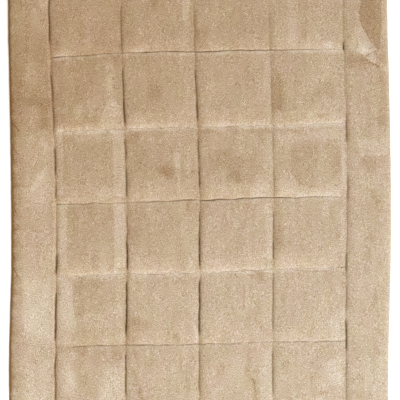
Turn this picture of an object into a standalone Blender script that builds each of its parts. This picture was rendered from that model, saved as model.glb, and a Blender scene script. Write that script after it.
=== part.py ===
"""A box-quilted plush throw lying flat, as one closed solid.

Metres, with +Z up. The underside rests on z = 0, +Y runs along the length towards the head and +X
across the width. The origin is under the middle of the throw. Seams cross the field in squares, and
a plain border surrounds it. The cloth swells quickly to the right of each seam along the throw, and
falls quickly to each seam across it from the head's side. On the other sides it leans gently.
"""

from collections import namedtuple

import bmesh
import bpy
import numpy as np

MM = 0.001

# Driving dimensions
PITCH = 0.250  # side of a quilted square
COLUMNS = 4
ROWS = 6
BORDER = 0.150  # plain cloth from the outer seams to the hem
CORNER_RADIUS = 0.022

HALF_FIELD = np.array((COLUMNS, ROWS)) * PITCH / 2
HALF_THROW = HALF_FIELD + BORDER

# Thickness
SEAM_TOP = 0.0042  # top of the cloth where a seam holds all of its loft down
SEAM_UNDER = 0.0016  # how far the underside lifts off the floor along a seam
UNDER_GROOVE = 0.008  # half the width of the groove that a seam leaves in the underside
HEM_TOP = 0.0040
HEM_UNDER = 0.0010
HEM_ROUND = 0.018  # width of the rounded edge
HEM_FALL = 0.35  # share of the loft that goes before the rounded edge
HEM_REACH = 0.060  # distance from the hem over which it goes

# Mesh lines from one seam to the next, and from the outer seams to the hem
STEPS_ACROSS = (0.0, 0.009, 0.024, 0.042, 0.120, 0.195, 0.228, 0.241)
STEPS_ALONG = (0.0, 0.009, 0.030, 0.058, 0.120, 0.190, 0.241)
BORDER_STEPS = (0.009, 0.024, 0.050, 0.090, 0.118, 0.133, 0.142, 0.148, 0.150)

# How the cloth swells on the two sides of a seam: before it, towards the left or the foot, and after
# it, towards the right or the head. steep is the share of the loft won back within reach, along a
# curve of that power. The rest is won back evenly over the square.
Flank = namedtuple("Flank", ("steep", "reach", "curve"))
ALONG_FLANKS = {"before": Flank(0.35, 0.022, 2.0), "after": Flank(1.0, 0.042, 2.5)}
ACROSS_FLANKS = {"before": Flank(0.15, 0.020, 2.0), "after": Flank(1.0, 0.058, 2.0)}
BORDER_FLANK = Flank(0.75, 0.020, 2.0)  # before the first seam, where the border lies
NOTCH_REACH = 0.009  # half the width of the notch where a seam is pulled tight
NOTCH_CURVE = 1.5

# Lines along the throw. place is the straight place across the width in metres. The next columns
# say how far the line strays to the right of it, in millimetres, at the stations named here. hold
# is the share of the loft that a seam takes away, and notch is the part of that in its tight notch.
ALONG_STATIONS = {
    "head": 0.90,
    "high": 0.66,
    "upper": 0.38,
    "middle": 0.08,
    "lower": -0.22,
    "low": -0.52,
    "foot": -0.90,
}
AlongLine = namedtuple("AlongLine", ("name", "place", *ALONG_STATIONS, "hold", "notch"))
ALONG_LINES = (
    AlongLine("left_hem", -0.65, -6.0, -9.0, -4.0, 1.0, 2.0, -5.0, -3.0, 0.0, 0.0),
    AlongLine("seam_1", -0.50, -10.0, -17.0, -6.0, 6.0, 8.0, 5.0, 2.0, 1.0, 0.40),
    AlongLine("seam_2", -0.25, -10.0, -20.0, -12.0, -2.0, 0.0, -3.0, 0.0, 1.0, 0.40),
    AlongLine("seam_3", 0.00, -8.0, -20.0, -12.0, -2.0, -1.0, -2.0, 0.0, 0.9, 0.35),
    AlongLine("seam_4", 0.25, -5.0, -12.0, -4.0, 4.0, 1.0, -1.0, 0.0, 0.85, 0.35),
    AlongLine("seam_5", 0.50, -4.0, -8.0, -2.0, 6.0, 2.0, 0.0, 0.0, 1.0, 0.35),
    AlongLine("right_hem", 0.65, -6.0, -7.0, 0.0, 6.0, 6.0, -1.0, -3.0, 0.0, 0.0),
)

# Lines across the throw, with how far each strays towards the head, in millimetres, where it
# meets the lines along. Every second seam is pulled tight, and the others have no notch.
ACROSS_STATIONS = {
    "left": -0.50,
    "second": -0.25,
    "third": 0.00,
    "fourth": 0.25,
    "right": 0.50,
}
AcrossLine = namedtuple("AcrossLine", ("name", "place", *ACROSS_STATIONS, "hold", "notch"))
ACROSS_LINES = (
    AcrossLine("foot_hem", -0.90, -4.0, -2.0, 0.0, 2.0, 4.0, 0.0, 0.0),
    AcrossLine("seam_g", -0.75, -5.0, 0.0, 3.0, 8.0, 12.0, 1.0, 0.0),
    AcrossLine("seam_e", -0.50, -4.0, 3.0, 6.0, 14.0, 18.0, 0.7, 0.35),
    AcrossLine("seam_d", -0.25, -13.0, -3.0, 0.0, 13.0, 21.0, 0.7, 0.0),
    AcrossLine("seam_c", 0.00, -15.0, -9.0, -1.0, 6.0, 12.0, 0.95, 0.25),
    AcrossLine("seam_b", 0.25, -16.0, -5.0, 3.0, 7.0, 15.0, 0.8, 0.0),
    AcrossLine("seam_a", 0.50, -14.0, 1.0, 7.0, 12.0, 16.0, 0.75, 0.35),
    AcrossLine("seam_f", 0.75, -10.0, -5.0, 0.0, 5.0, 9.0, 1.0, 0.0),
    AcrossLine("head_hem", 0.90, -4.0, -2.0, 0.0, 2.0, 4.0, 0.0, 0.0),
)

# Loft of each square, in millimetres, for each row of squares from foot to head. The border has
# the loft of the squares beside it.
LoftRow = namedtuple("LoftRow", ("first", "second", "third", "fourth"))
LOFT_ROWS = (
    LoftRow(8.5, 8.8, 8.4, 8.2),
    LoftRow(9.2, 9.6, 9.0, 8.6),
    LoftRow(8.8, 9.8, 9.4, 9.0),
    LoftRow(8.2, 8.8, 9.0, 8.0),
    LoftRow(9.0, 8.4, 8.8, 8.4),
    LoftRow(8.6, 8.8, 8.2, 8.0),
)

PLUSH_COLOR = (0.50, 0.37, 0.245, 1.0)
PLUSH_ROUGHNESS = 0.9


def clear_objects():
    for obj in list(bpy.data.objects):
        bpy.data.objects.remove(obj)


def plush_material():
    material = bpy.data.materials.new("plush")
    material.use_nodes = True
    shader = material.node_tree.nodes["Principled BSDF"]
    shader.inputs["Base Color"].default_value = PLUSH_COLOR
    shader.inputs["Roughness"].default_value = PLUSH_ROUGHNESS
    shader.inputs["Metallic"].default_value = 0.0
    return material


def mesh_lines(count, steps):
    """Places of the mesh lines over a side of so many squares, close together at seams and hems."""
    half = count * PITCH / 2
    field = [-half + square * PITCH + step for square in range(count) for step in steps]
    border = [half + step for step in BORDER_STEPS]
    return np.array([*(-place for place in reversed(border)), *field, half, *border])


def smooth_through(stations, values, at):
    """A smooth curve through the values at the rising stations, read at each place."""
    stations, values = np.array(stations, float), np.array(values, float)
    slopes = np.gradient(values, stations)
    at = np.clip(at, stations[0], stations[-1])
    low = np.clip(np.searchsorted(stations, at) - 1, 0, len(stations) - 2)
    span = stations[low + 1] - stations[low]
    share = (at - stations[low]) / span
    rest = 1 - share
    return (
        values[low] * (1 + 2 * share) * rest**2
        + slopes[low] * span * share * rest**2
        + values[low + 1] * (3 - 2 * share) * share**2
        - slopes[low + 1] * span * rest * share**2
    )


def strays(lines, stations, place, along):
    """How far the cloth strays at each place, in metres: smooth down a line, even between lines."""
    order = sorted(stations, key=stations.get)
    rising = [stations[name] for name in order]
    routes = np.array(
        [smooth_through(rising, [getattr(line, name) for name in order], along) for line in lines]
    )
    places = np.array([line.place for line in lines])
    low = np.clip(np.searchsorted(places, place) - 1, 0, len(places) - 2)
    share = (place - places[low]) / (places[low + 1] - places[low])
    each = np.arange(len(place))
    return MM * (routes[low, each] * (1 - share) + routes[low + 1, each] * share)


def flank_loss(distance, flank, rest):
    """Share of the loft missing at a distance from a seam, from all of it to none at the rest."""
    steep = np.clip(1 - distance / flank.reach, 0, 1) ** flank.curve
    even = np.clip(1 - distance / rest, 0, 1)
    return flank.steep * steep + (1 - flank.steep) * even


def kept_loft(lines, flanks, place):
    """Share of the loft that the seams of one direction leave at each place."""
    before, after = flanks["before"], flanks["after"]
    seams = [line for line in lines if line.hold]
    kept = np.ones_like(place)
    for line in seams:
        distance = np.abs(place - line.place)
        notch = np.clip(1 - distance / NOTCH_REACH, 0, 1) ** NOTCH_CURVE
        if line is seams[0]:
            loss_before = flank_loss(distance, BORDER_FLANK, BORDER)
        else:
            loss_before = flank_loss(distance, before, PITCH - after.reach)
        loss_after = flank_loss(distance, after, PITCH - before.reach)
        shoulder = np.where(place < line.place, loss_before, loss_after)
        kept -= line.hold * (line.notch * notch + (1 - line.notch) * shoulder)
    return kept


def quilting(x, y):
    """Share of the loft that is left by all seams. The border knows only the outer seam beside it."""
    kept_x = kept_loft(ALONG_LINES, ALONG_FLANKS, x)
    kept_y = kept_loft(ACROSS_LINES, ACROSS_FLANKS, y)
    beside, beyond = np.abs(x) > HALF_FIELD[0], np.abs(y) > HALF_FIELD[1]
    corner = np.maximum(kept_x, kept_y)
    return np.select((beside & beyond, beside, beyond), (corner, kept_x, kept_y), kept_x * kept_y)


def square_loft(x, y):
    """Loft of the squares, in metres, blended from the middle of one square to the next."""
    table = MM * np.array(LOFT_ROWS)
    across = np.clip((x + HALF_FIELD[0]) / PITCH - 0.5, 0, COLUMNS - 1)
    along = np.clip((y + HALF_FIELD[1]) / PITCH - 0.5, 0, ROWS - 1)
    column = np.minimum(across.astype(int), COLUMNS - 2)
    row = np.minimum(along.astype(int), ROWS - 2)
    share_x, share_y = across - column, along - row
    nearer = table[row, column] * (1 - share_x) + table[row, column + 1] * share_x
    farther = table[row + 1, column] * (1 - share_x) + table[row + 1, column + 1] * share_x
    return nearer * (1 - share_y) + farther * share_y


def top_height(x, y):
    from_sides, from_ends = HALF_THROW[0] - np.abs(x), HALF_THROW[1] - np.abs(y)
    loft = square_loft(x, y) * quilting(x, y)
    for inside in (from_sides, from_ends):
        loft *= 1 - HEM_FALL * np.clip(1 - inside / HEM_REACH, 0, 1) ** 2
    short = np.clip(1 - np.minimum(from_sides, from_ends) / HEM_ROUND, 0, 1)
    return HEM_TOP + (SEAM_TOP + loft - HEM_TOP) * np.sqrt(1 - short**2)


def seam_distance(x, y):
    """Distance from each place to the nearest stretch of quilting."""
    past_x, past_y = np.maximum(np.abs(np.stack((x, y))) - HALF_FIELD[:, None], 0)
    along = np.array([line.place for line in ALONG_LINES if line.hold])
    across = np.array([line.place for line in ACROSS_LINES if line.hold])
    to_along = np.hypot(np.abs(x[:, None] - along).min(axis=1), past_y)
    to_across = np.hypot(np.abs(y[:, None] - across).min(axis=1), past_x)
    return np.minimum(to_along, to_across)


def under_height(x, y):
    groove = SEAM_UNDER * np.clip(1 - seam_distance(x, y) / UNDER_GROOVE, 0, 1)
    at_hem = (np.abs(x) >= HALF_THROW[0]) | (np.abs(y) >= HALF_THROW[1])
    return np.where(at_hem, HEM_UNDER, groove)


def round_corners(x, y):
    """Draws the corner squares of the plan into quarter discs."""
    start = HALF_THROW - CORNER_RADIUS
    out_x = np.clip((np.abs(x) - start[0]) / CORNER_RADIUS, 0, 1)
    out_y = np.clip((np.abs(y) - start[1]) / CORNER_RADIUS, 0, 1)
    disc_x = out_x * np.sqrt(1 - out_y**2 / 2)
    disc_y = out_y * np.sqrt(1 - out_x**2 / 2)
    round_x = x - np.sign(x) * CORNER_RADIUS * (out_x - disc_x)
    round_y = y - np.sign(y) * CORNER_RADIUS * (out_y - disc_y)
    return round_x, round_y


def plan(x, y):
    """Where the places of the straight pattern lie on the floor, with the outline's middle at 0, 0."""
    round_x, round_y = round_corners(x, y)
    plan_x = round_x + strays(ALONG_LINES, ALONG_STATIONS, x, y)
    plan_y = round_y + strays(ACROSS_LINES, ACROSS_STATIONS, y, x)
    plan_x -= (plan_x.min() + plan_x.max()) / 2
    plan_y -= (plan_y.min() + plan_y.max()) / 2
    return plan_x, plan_y


def add_sheet(bm, x, y, z, columns):
    """A sheet of quads over a grid of points, with its vertices in rows of so many columns."""
    verts = [bm.verts.new(place) for place in zip(x, y, z)]
    for start in range(0, len(verts) - columns, columns):
        for corner in range(start, start + columns - 1):
            above = corner + columns
            bm.faces.new((verts[corner], verts[corner + 1], verts[above + 1], verts[above]))


def throw_mesh():
    across, along = mesh_lines(COLUMNS, STEPS_ACROSS), mesh_lines(ROWS, STEPS_ALONG)
    grid_x, grid_y = (axis.ravel() for axis in np.meshgrid(across, along))
    plan_x, plan_y = plan(grid_x, grid_y)
    bm = bmesh.new()
    add_sheet(bm, plan_x, plan_y, top_height(grid_x, grid_y), len(across))
    add_sheet(bm, plan_x, plan_y, under_height(grid_x, grid_y), len(across))
    rims = [edge for edge in bm.edges if edge.is_boundary]
    bmesh.ops.bridge_loops(bm, edges=rims)
    bmesh.ops.recalc_face_normals(bm, faces=bm.faces)
    mesh = bpy.data.meshes.new("quilted_throw")
    bm.to_mesh(mesh)
    bm.free()
    mesh.shade_smooth()
    return mesh


def main():
    clear_objects()
    throw = bpy.data.objects.new("quilted_throw", throw_mesh())
    throw.data.materials.append(plush_material())
    bpy.context.scene.collection.objects.link(throw)


main()
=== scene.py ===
"""Dresses a box-quilted plush throw that lies flat on a pale studio floor.

Metres, with +Z up. +Y runs along the throw towards its head and +X across it.
"""

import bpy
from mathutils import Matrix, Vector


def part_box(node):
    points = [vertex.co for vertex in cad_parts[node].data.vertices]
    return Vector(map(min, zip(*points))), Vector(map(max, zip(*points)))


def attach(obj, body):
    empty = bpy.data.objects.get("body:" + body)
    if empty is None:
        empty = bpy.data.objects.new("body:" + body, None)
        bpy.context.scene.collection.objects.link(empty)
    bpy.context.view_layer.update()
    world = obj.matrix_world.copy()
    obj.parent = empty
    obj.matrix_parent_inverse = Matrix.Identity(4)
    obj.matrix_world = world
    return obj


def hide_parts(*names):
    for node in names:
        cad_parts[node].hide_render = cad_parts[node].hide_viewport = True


bl_info = {
    "name": "Quilted Plush Throw",
    "version": (1, 0, 0),
    "blender": (4, 5, 0),
    "location": "3D Viewport > Sidebar > Throw",
    "description": "Makes a box-quilted plush throw with its pressed nap, sewn seams and studio",
    "category": "Add Mesh",
}

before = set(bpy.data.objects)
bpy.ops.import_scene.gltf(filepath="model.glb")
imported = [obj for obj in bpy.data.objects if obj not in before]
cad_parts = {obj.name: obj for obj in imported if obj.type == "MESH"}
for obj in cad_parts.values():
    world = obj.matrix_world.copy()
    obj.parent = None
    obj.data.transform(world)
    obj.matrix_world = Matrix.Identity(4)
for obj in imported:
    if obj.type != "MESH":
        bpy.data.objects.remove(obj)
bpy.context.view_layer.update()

import math
from collections import namedtuple

import bmesh
import bpy
import numpy as np
from bpy.props import FloatProperty, FloatVectorProperty, PointerProperty
from bpy.types import Operator, Panel, PropertyGroup

THROW_NODE = "quilted_throw"
BODY = "root"
MM = 0.001

# Driving dimensions of the sewn pattern, as in the part
PITCH = 0.250  # side of a quilted square
COLUMNS = 4
ROWS = 6
BORDER = 0.150  # plain cloth from the outer seams to the hem
CORNER_RADIUS = 0.022

HALF_FIELD = np.array((COLUMNS, ROWS)) * PITCH / 2
HALF_THROW = HALF_FIELD + BORDER

# Thickness
SEAM_TOP = 0.0042  # top of the cloth where a seam holds all of its loft down
SEAM_UNDER = 0.0016  # how far the underside lifts off the floor along a seam
UNDER_GROOVE = 0.008  # half the width of the groove that a seam leaves in the underside
HEM_TOP = 0.0030
HEM_UNDER = 0.0008
HEM_TUCK = 0.0020  # how far the underside's outline stays inside the hem
HEM_ROUND = 0.026  # width of the rounded edge
HEM_FALL = 0.35  # share of the loft that is lost at the hem
HEM_REACH = 0.060  # distance from the hem at which that loss starts

# Mesh lines, as distances from a seam, and as distances from the hem over its rounded edge
NEAR_LONG_SEAM = (0.0012, 0.0026, 0.0042, 0.006, 0.0085, 0.0115, 0.015, 0.0195, 0.025, 0.032, 0.0395)
NEAR_CROSS_SEAM = (0.0012, 0.0028, 0.005, 0.009, 0.015, 0.022, 0.03, 0.04)
NEAR_HEM = (0.018, 0.0135, 0.0095, 0.0063, 0.0039, 0.0022, 0.001, 0.0003, 0.0)
SQUARE_SPANS = 24  # even spans between the lines near two seams
SIDE_SPANS = 13
END_SPANS = 14
HEM_SAMPLES = 400  # places along a hem at which its route is read

# How the cloth swells on the two sides of a seam, as in the part
Flank = namedtuple("Flank", ("steep", "reach", "curve"))
ALONG_FLANKS = {"before": Flank(0.35, 0.022, 2.0), "after": Flank(1.0, 0.042, 2.5)}
ACROSS_FLANKS = {"before": Flank(0.15, 0.020, 2.0), "after": Flank(1.0, 0.058, 2.0)}
BORDER_FLANK = Flank(0.85, 0.009, 1.5)

# The slit of a long seam is wider on the side where the cloth climbs out of it
SlitForm = namedtuple("SlitForm", ("before", "after", "curve"))
LONG_SLIT = SlitForm(0.0045, 0.0070, 1.3)
CROSS_SLIT = SlitForm(0.0030, 0.0050, 1.3)
CROSS_SLIT_SINK = 0.6  # how deep a crosswise slit sinks, as a share of a long one
LONG_SLIT_SHADE = 1.1  # how far an open slit is darkened to the painted shade of its depths
CROSS_SLIT_SHADE = 0.45

# The seams and hems of each direction. Each line has its place in the straight pattern and, for the
# stations, how far it strays from there in millimetres. hold is how much of the loft it holds down,
# which is none for a hem, and notch is the share of that which follows its slit. flank and edge say
# how much painted shade lies right and left of a long seam. lip says how strongly it stands up above
# a crosswise seam, which also gives it a painted highlight, and under how strong the painted highlight
# on its rim is below.
ALONG_STATIONS = {
    "head": 0.90,
    "high": 0.66,
    "upper": 0.38,
    "middle": 0.08,
    "lower": -0.22,
    "low": -0.52,
    "foot": -0.90,
}
AlongLine = namedtuple("AlongLine", ("name", "place", *ALONG_STATIONS, "hold", "notch", "flank", "edge"))
ALONG_LINES = (
    AlongLine("left_hem", -0.65, -6.0, -9.0, -4.0, 1.0, 2.0, -5.0, -3.0, 0.0, 0.0, 0.0, 0.0),
    AlongLine("seam_1", -0.50, -11.5, -18.5, -8.0, 4.0, 6.0, 3.0, 0.0, 1.0, 0.40, 0.120, 0.025),
    AlongLine("seam_2", -0.25, -11.5, -22.0, -14.0, -3.5, -1.5, -6.0, -2.0, 1.0, 0.40, 0.120, 0.030),
    AlongLine("seam_3", 0.00, -10.0, -22.5, -14.0, -4.0, -2.5, -4.5, -1.0, 0.9, 0.35, 0.150, 0.0),
    AlongLine("seam_4", 0.25, -9.0, -15.0, -7.0, 1.5, 0.0, -1.5, 0.0, 0.85, 0.35, 0.065, 0.0),
    AlongLine("seam_5", 0.50, -5.0, -9.5, -3.5, 5.5, 1.5, 0.5, 0.0, 1.0, 0.35, 0.050, 0.0),
    AlongLine("right_hem", 0.65, -6.0, -7.0, 0.0, 6.0, 6.0, -1.0, -3.0, 0.0, 0.0, 0.0, 0.0),
)

ACROSS_STATIONS = {
    "left": -0.50,
    "second": -0.25,
    "third": 0.00,
    "fourth": 0.25,
    "right": 0.50,
}
AcrossLine = namedtuple("AcrossLine", ("name", "place", *ACROSS_STATIONS, "hold", "notch", "lip", "under"))
ACROSS_LINES = (
    AcrossLine("foot_hem", -0.90, -4.0, -2.0, 0.0, 2.0, 4.0, 0.0, 0.0, 0.0, 0.0),
    AcrossLine("seam_g", -0.75, -5.0, 0.0, 3.0, 8.0, 12.0, 1.0, 0.0, 0.6, 0.050),
    AcrossLine("seam_e", -0.50, -4.0, 3.0, 6.0, 14.0, 18.0, 0.7, 0.35, 0.18, 0.030),
    AcrossLine("seam_d", -0.25, -13.0, -3.0, 0.0, 13.0, 21.0, 0.7, 0.0, 0.60, 0.115),
    AcrossLine("seam_c", 0.00, -15.0, -8.0, 1.0, 8.5, 13.0, 0.95, 0.25, 0.30, 0.050),
    AcrossLine("seam_b", 0.25, -16.0, -5.0, 3.0, 7.0, 15.0, 0.8, 0.0, 0.90, 0.125),
    AcrossLine("seam_a", 0.50, -13.0, 5.0, 10.0, 15.5, 18.0, 0.75, 0.35, 0.38, 0.125),
    AcrossLine("seam_f", 0.75, -10.0, -5.0, 0.0, 5.0, 9.0, 1.0, 0.0, 0.70, 0.050),
    AcrossLine("head_hem", 0.90, -4.0, -2.0, 0.0, 2.0, 4.0, 0.0, 0.0, 0.0, 0.0),
)

# Loft of each square, in millimetres, in rows from the foot
LoftRow = namedtuple("LoftRow", ("first", "second", "third", "fourth"))
LOFT_ROWS = (
    LoftRow(8.5, 8.8, 8.4, 8.2),
    LoftRow(9.2, 9.6, 9.0, 8.6),
    LoftRow(8.8, 9.8, 9.4, 9.0),
    LoftRow(8.2, 8.8, 9.0, 8.0),
    LoftRow(9.0, 8.4, 8.8, 8.4),
    LoftRow(8.6, 8.8, 8.2, 8.0),
)

# Where each long seam is pulled open into a slit, which sinks and is darkened with painted shade: its
# middle and length along the throw, in millimetres, and how far it opens, from 0 to 1. Elsewhere it
# opens by CLOSED_SLIT.
Slit = namedtuple("Slit", ("seam", "middle", "length", "open"))
CLOSED_SLIT = 0.05
SLITS = (
    Slit("seam_1", 800, 200, 0.60),
    Slit("seam_1", 640, 190, 0.70),
    Slit("seam_1", 400, 110, 0.65),
    Slit("seam_1", 290, 120, 0.42),
    Slit("seam_1", 150, 110, 0.75),
    Slit("seam_1", 45, 70, 0.50),
    Slit("seam_1", -110, 110, 0.25),
    Slit("seam_1", -205, 90, 0.90),
    Slit("seam_1", -390, 190, 0.85),
    Slit("seam_1", -610, 190, 0.62),
    Slit("seam_1", -800, 200, 0.60),
    Slit("seam_2", 780, 200, 0.40),
    Slit("seam_2", 590, 190, 0.34),
    Slit("seam_2", 400, 120, 0.64),
    Slit("seam_2", 310, 110, 0.92),
    Slit("seam_2", 180, 90, 0.68),
    Slit("seam_2", 70, 120, 0.64),
    Slit("seam_2", -90, 110, 0.45),
    Slit("seam_2", -185, 120, 1.00),
    Slit("seam_2", -370, 200, 1.00),
    Slit("seam_2", -600, 160, 0.72),
    Slit("seam_2", -790, 200, 0.60),
    Slit("seam_3", 780, 200, 0.06),
    Slit("seam_3", 600, 190, 0.10),
    Slit("seam_3", 390, 120, 0.58),
    Slit("seam_3", 305, 90, 0.80),
    Slit("seam_3", 170, 100, 0.64),
    Slit("seam_3", 80, 90, 0.66),
    Slit("seam_3", -90, 100, 0.60),
    Slit("seam_3", -175, 130, 0.90),
    Slit("seam_3", -370, 210, 0.95),
    Slit("seam_3", -590, 160, 0.36),
    Slit("seam_3", -790, 200, 0.45),
    Slit("seam_4", 320, 160, 0.18),
    Slit("seam_4", 190, 90, 0.30),
    Slit("seam_4", 60, 90, 0.28),
    Slit("seam_4", -100, 110, 0.50),
    Slit("seam_4", -180, 90, 0.62),
    Slit("seam_4", -360, 220, 0.44),
    Slit("seam_4", -600, 170, 0.52),
    Slit("seam_4", -790, 200, 0.50),
    Slit("seam_5", 780, 200, 0.12),
    Slit("seam_5", 620, 140, 0.10),
    Slit("seam_5", 512, 50, 0.90),
    Slit("seam_5", 235, 110, 0.50),
    Slit("seam_5", 30, 110, 0.45),
    Slit("seam_5", -110, 170, 0.20),
    Slit("seam_5", -235, 90, 0.62),
    Slit("seam_5", -355, 110, 0.34),
    Slit("seam_5", -480, 120, 0.85),
    Slit("seam_5", -620, 150, 0.32),
    Slit("seam_5", -790, 200, 0.60),
)
SLIT_FADE = 0.022  # length over which an open slit closes at its ends

# How far each crosswise seam is open at its stations, from 0 to 1
CrossOpen = namedtuple("CrossOpen", ("seam", *ACROSS_STATIONS))
CROSS_OPENNESS = (
    CrossOpen("seam_e", 0.25, 0.55, 0.42, 0.30, 0.55),
    CrossOpen("seam_c", 0.56, 0.30, 0.82, 1.00, 0.15),
    CrossOpen("seam_a", 0.60, 0.42, 0.95, 0.82, 0.10),
)
CROSS_RAGGED = 0.28  # share by which that opening varies along a seam
CROSS_LEAST = 0.03  # and its least

# Unevenness: the lengths between which its waves are drawn, and the seed of the draw
Uneven = namedtuple("Uneven", ("longest", "shortest", "seed"))
WAVE_COUNT = 16
BROAD_SWELL = Uneven(0.15, 0.06, 7)
FINE_SWELL = Uneven(0.055, 0.03, 11)
FINE_SWELL_SHARE = 0.4
SWELL_STRETCH = 0.5  # the swell's waves are twice as long along the throw
CROSS_UNEVEN = Uneven(0.10, 0.030, 31)
PLEATS = Uneven(0.034, 0.016, 53)
PLEAT_STRETCH = 0.12  # the pleats' waves are about eight times as long along the throw
PLEAT_RISE = 0.028  # distances over which the pleats fade above and below a seam
PLEAT_DROP = 0.010
MARK_EDGE_X = Uneven(0.070, 0.028, 61)
MARK_EDGE_Y = Uneven(0.070, 0.028, 67)
HEM_UNEVEN = Uneven(0.060, 0.018, 71)
LIP_UNEVEN = Uneven(0.14, 0.05, 83)
RIM_UNEVEN = Uneven(0.09, 0.03, 89)

# The small wandering of seams and hems off their smooth lines. The seed goes up by 1 with each line.
ALONG_WANDER = Uneven(0.20, 0.035, 100)
ACROSS_WANDER = Uneven(0.20, 0.035, 200)
ALONG_WANDER_SIZE = 0.0007
ACROSS_WANDER_SIZE = 0.0010
WANDER_REACH = 0.030
HEM_WANDER = 0.35  # how much a hem wanders, as a share of a seam

# The pile's marks
NAP_RAGGED = 0.0025  # how far the edges of the soft marks stray
CRISP_LIMIT = 5.0  # distances to a crisp mark or crease are kept up to so many feathers or widths
CREASE_END = 0.006
CREASE_REACH = 0.008  # a crease's tone starts to fade this far from it, past where its line is seen

# Painted light and shade at the seams: painted shade beside a long one, a painted highlight on the rim
# below a crosswise one, and a lip of pile that stands up above it, which takes a painted highlight
FLANK_REACH = 0.012
HEAD_CALM = 0.85  # share of the flanks' shade that is gone at the head
HEAD_CALM_START = 0.60  # where along the throw it starts to go, and over what length
HEAD_CALM_SPAN = 0.08
RIM_MIDDLE = 0.0055  # distance from the seam at which the rim is palest
RIM_REACH = 0.0075
RIM_START = 0.0026
RIM_RAGGED = 0.35
RIM_LIMITS = (0.2, 1.8)
LIP_REACH = 0.013  # distances over which the lip fades above and below the seam
LIP_FOOT = 0.0012
LIP_RAGGED = 0.45
LIP_LIMITS = (0.0, 2.0)

# Painted shade on the left hem, which faces away from the lamp: a dark line, a shade and a wide haze. A
# painted highlight makes the right hem a little paler.
HEM_LINE = 0.32
HEM_LINE_INSET = 0.0040
HEM_LINE_REACH = 0.0038
HEM_SHADE = 0.27
HEM_SHADE_RAGGED = 0.3
HEM_HAZE = 0.09
HEM_HAZE_WIDTH = 2.5  # in widths of the shade
RIGHT_HEM_GLOW = 0.07
RIGHT_HEM_REACH = 0.010

# How wide the left hem's shade is at the stations along the throw, in millimetres
HEM_SHADE_WIDTHS = {
    "head": 13.0,
    "high": 8.0,
    "upper": 9.0,
    "middle": 15.0,
    "lower": 13.0,
    "low": 9.0,
    "foot": 12.0,
}

# Marks in the nap and the relief, in millimetres from the middle of the pattern; painted light and
# shade are among the nap's marks. A patch fades across its outline over the width of its feather. A
# stroke runs from one place to another: left and right say how far it reaches on each side, seen along
# it, and edge is the share of that over which it fades. amount is what a mark adds: for the nap and its
# painted light and shade, a share of the brightness.
Patch = namedtuple("Patch", ("feather", "amount", "outline"))
Stroke = namedtuple("Stroke", ("x", "y", "to_x", "to_y", "left", "right", "edge", "amount"))

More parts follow.
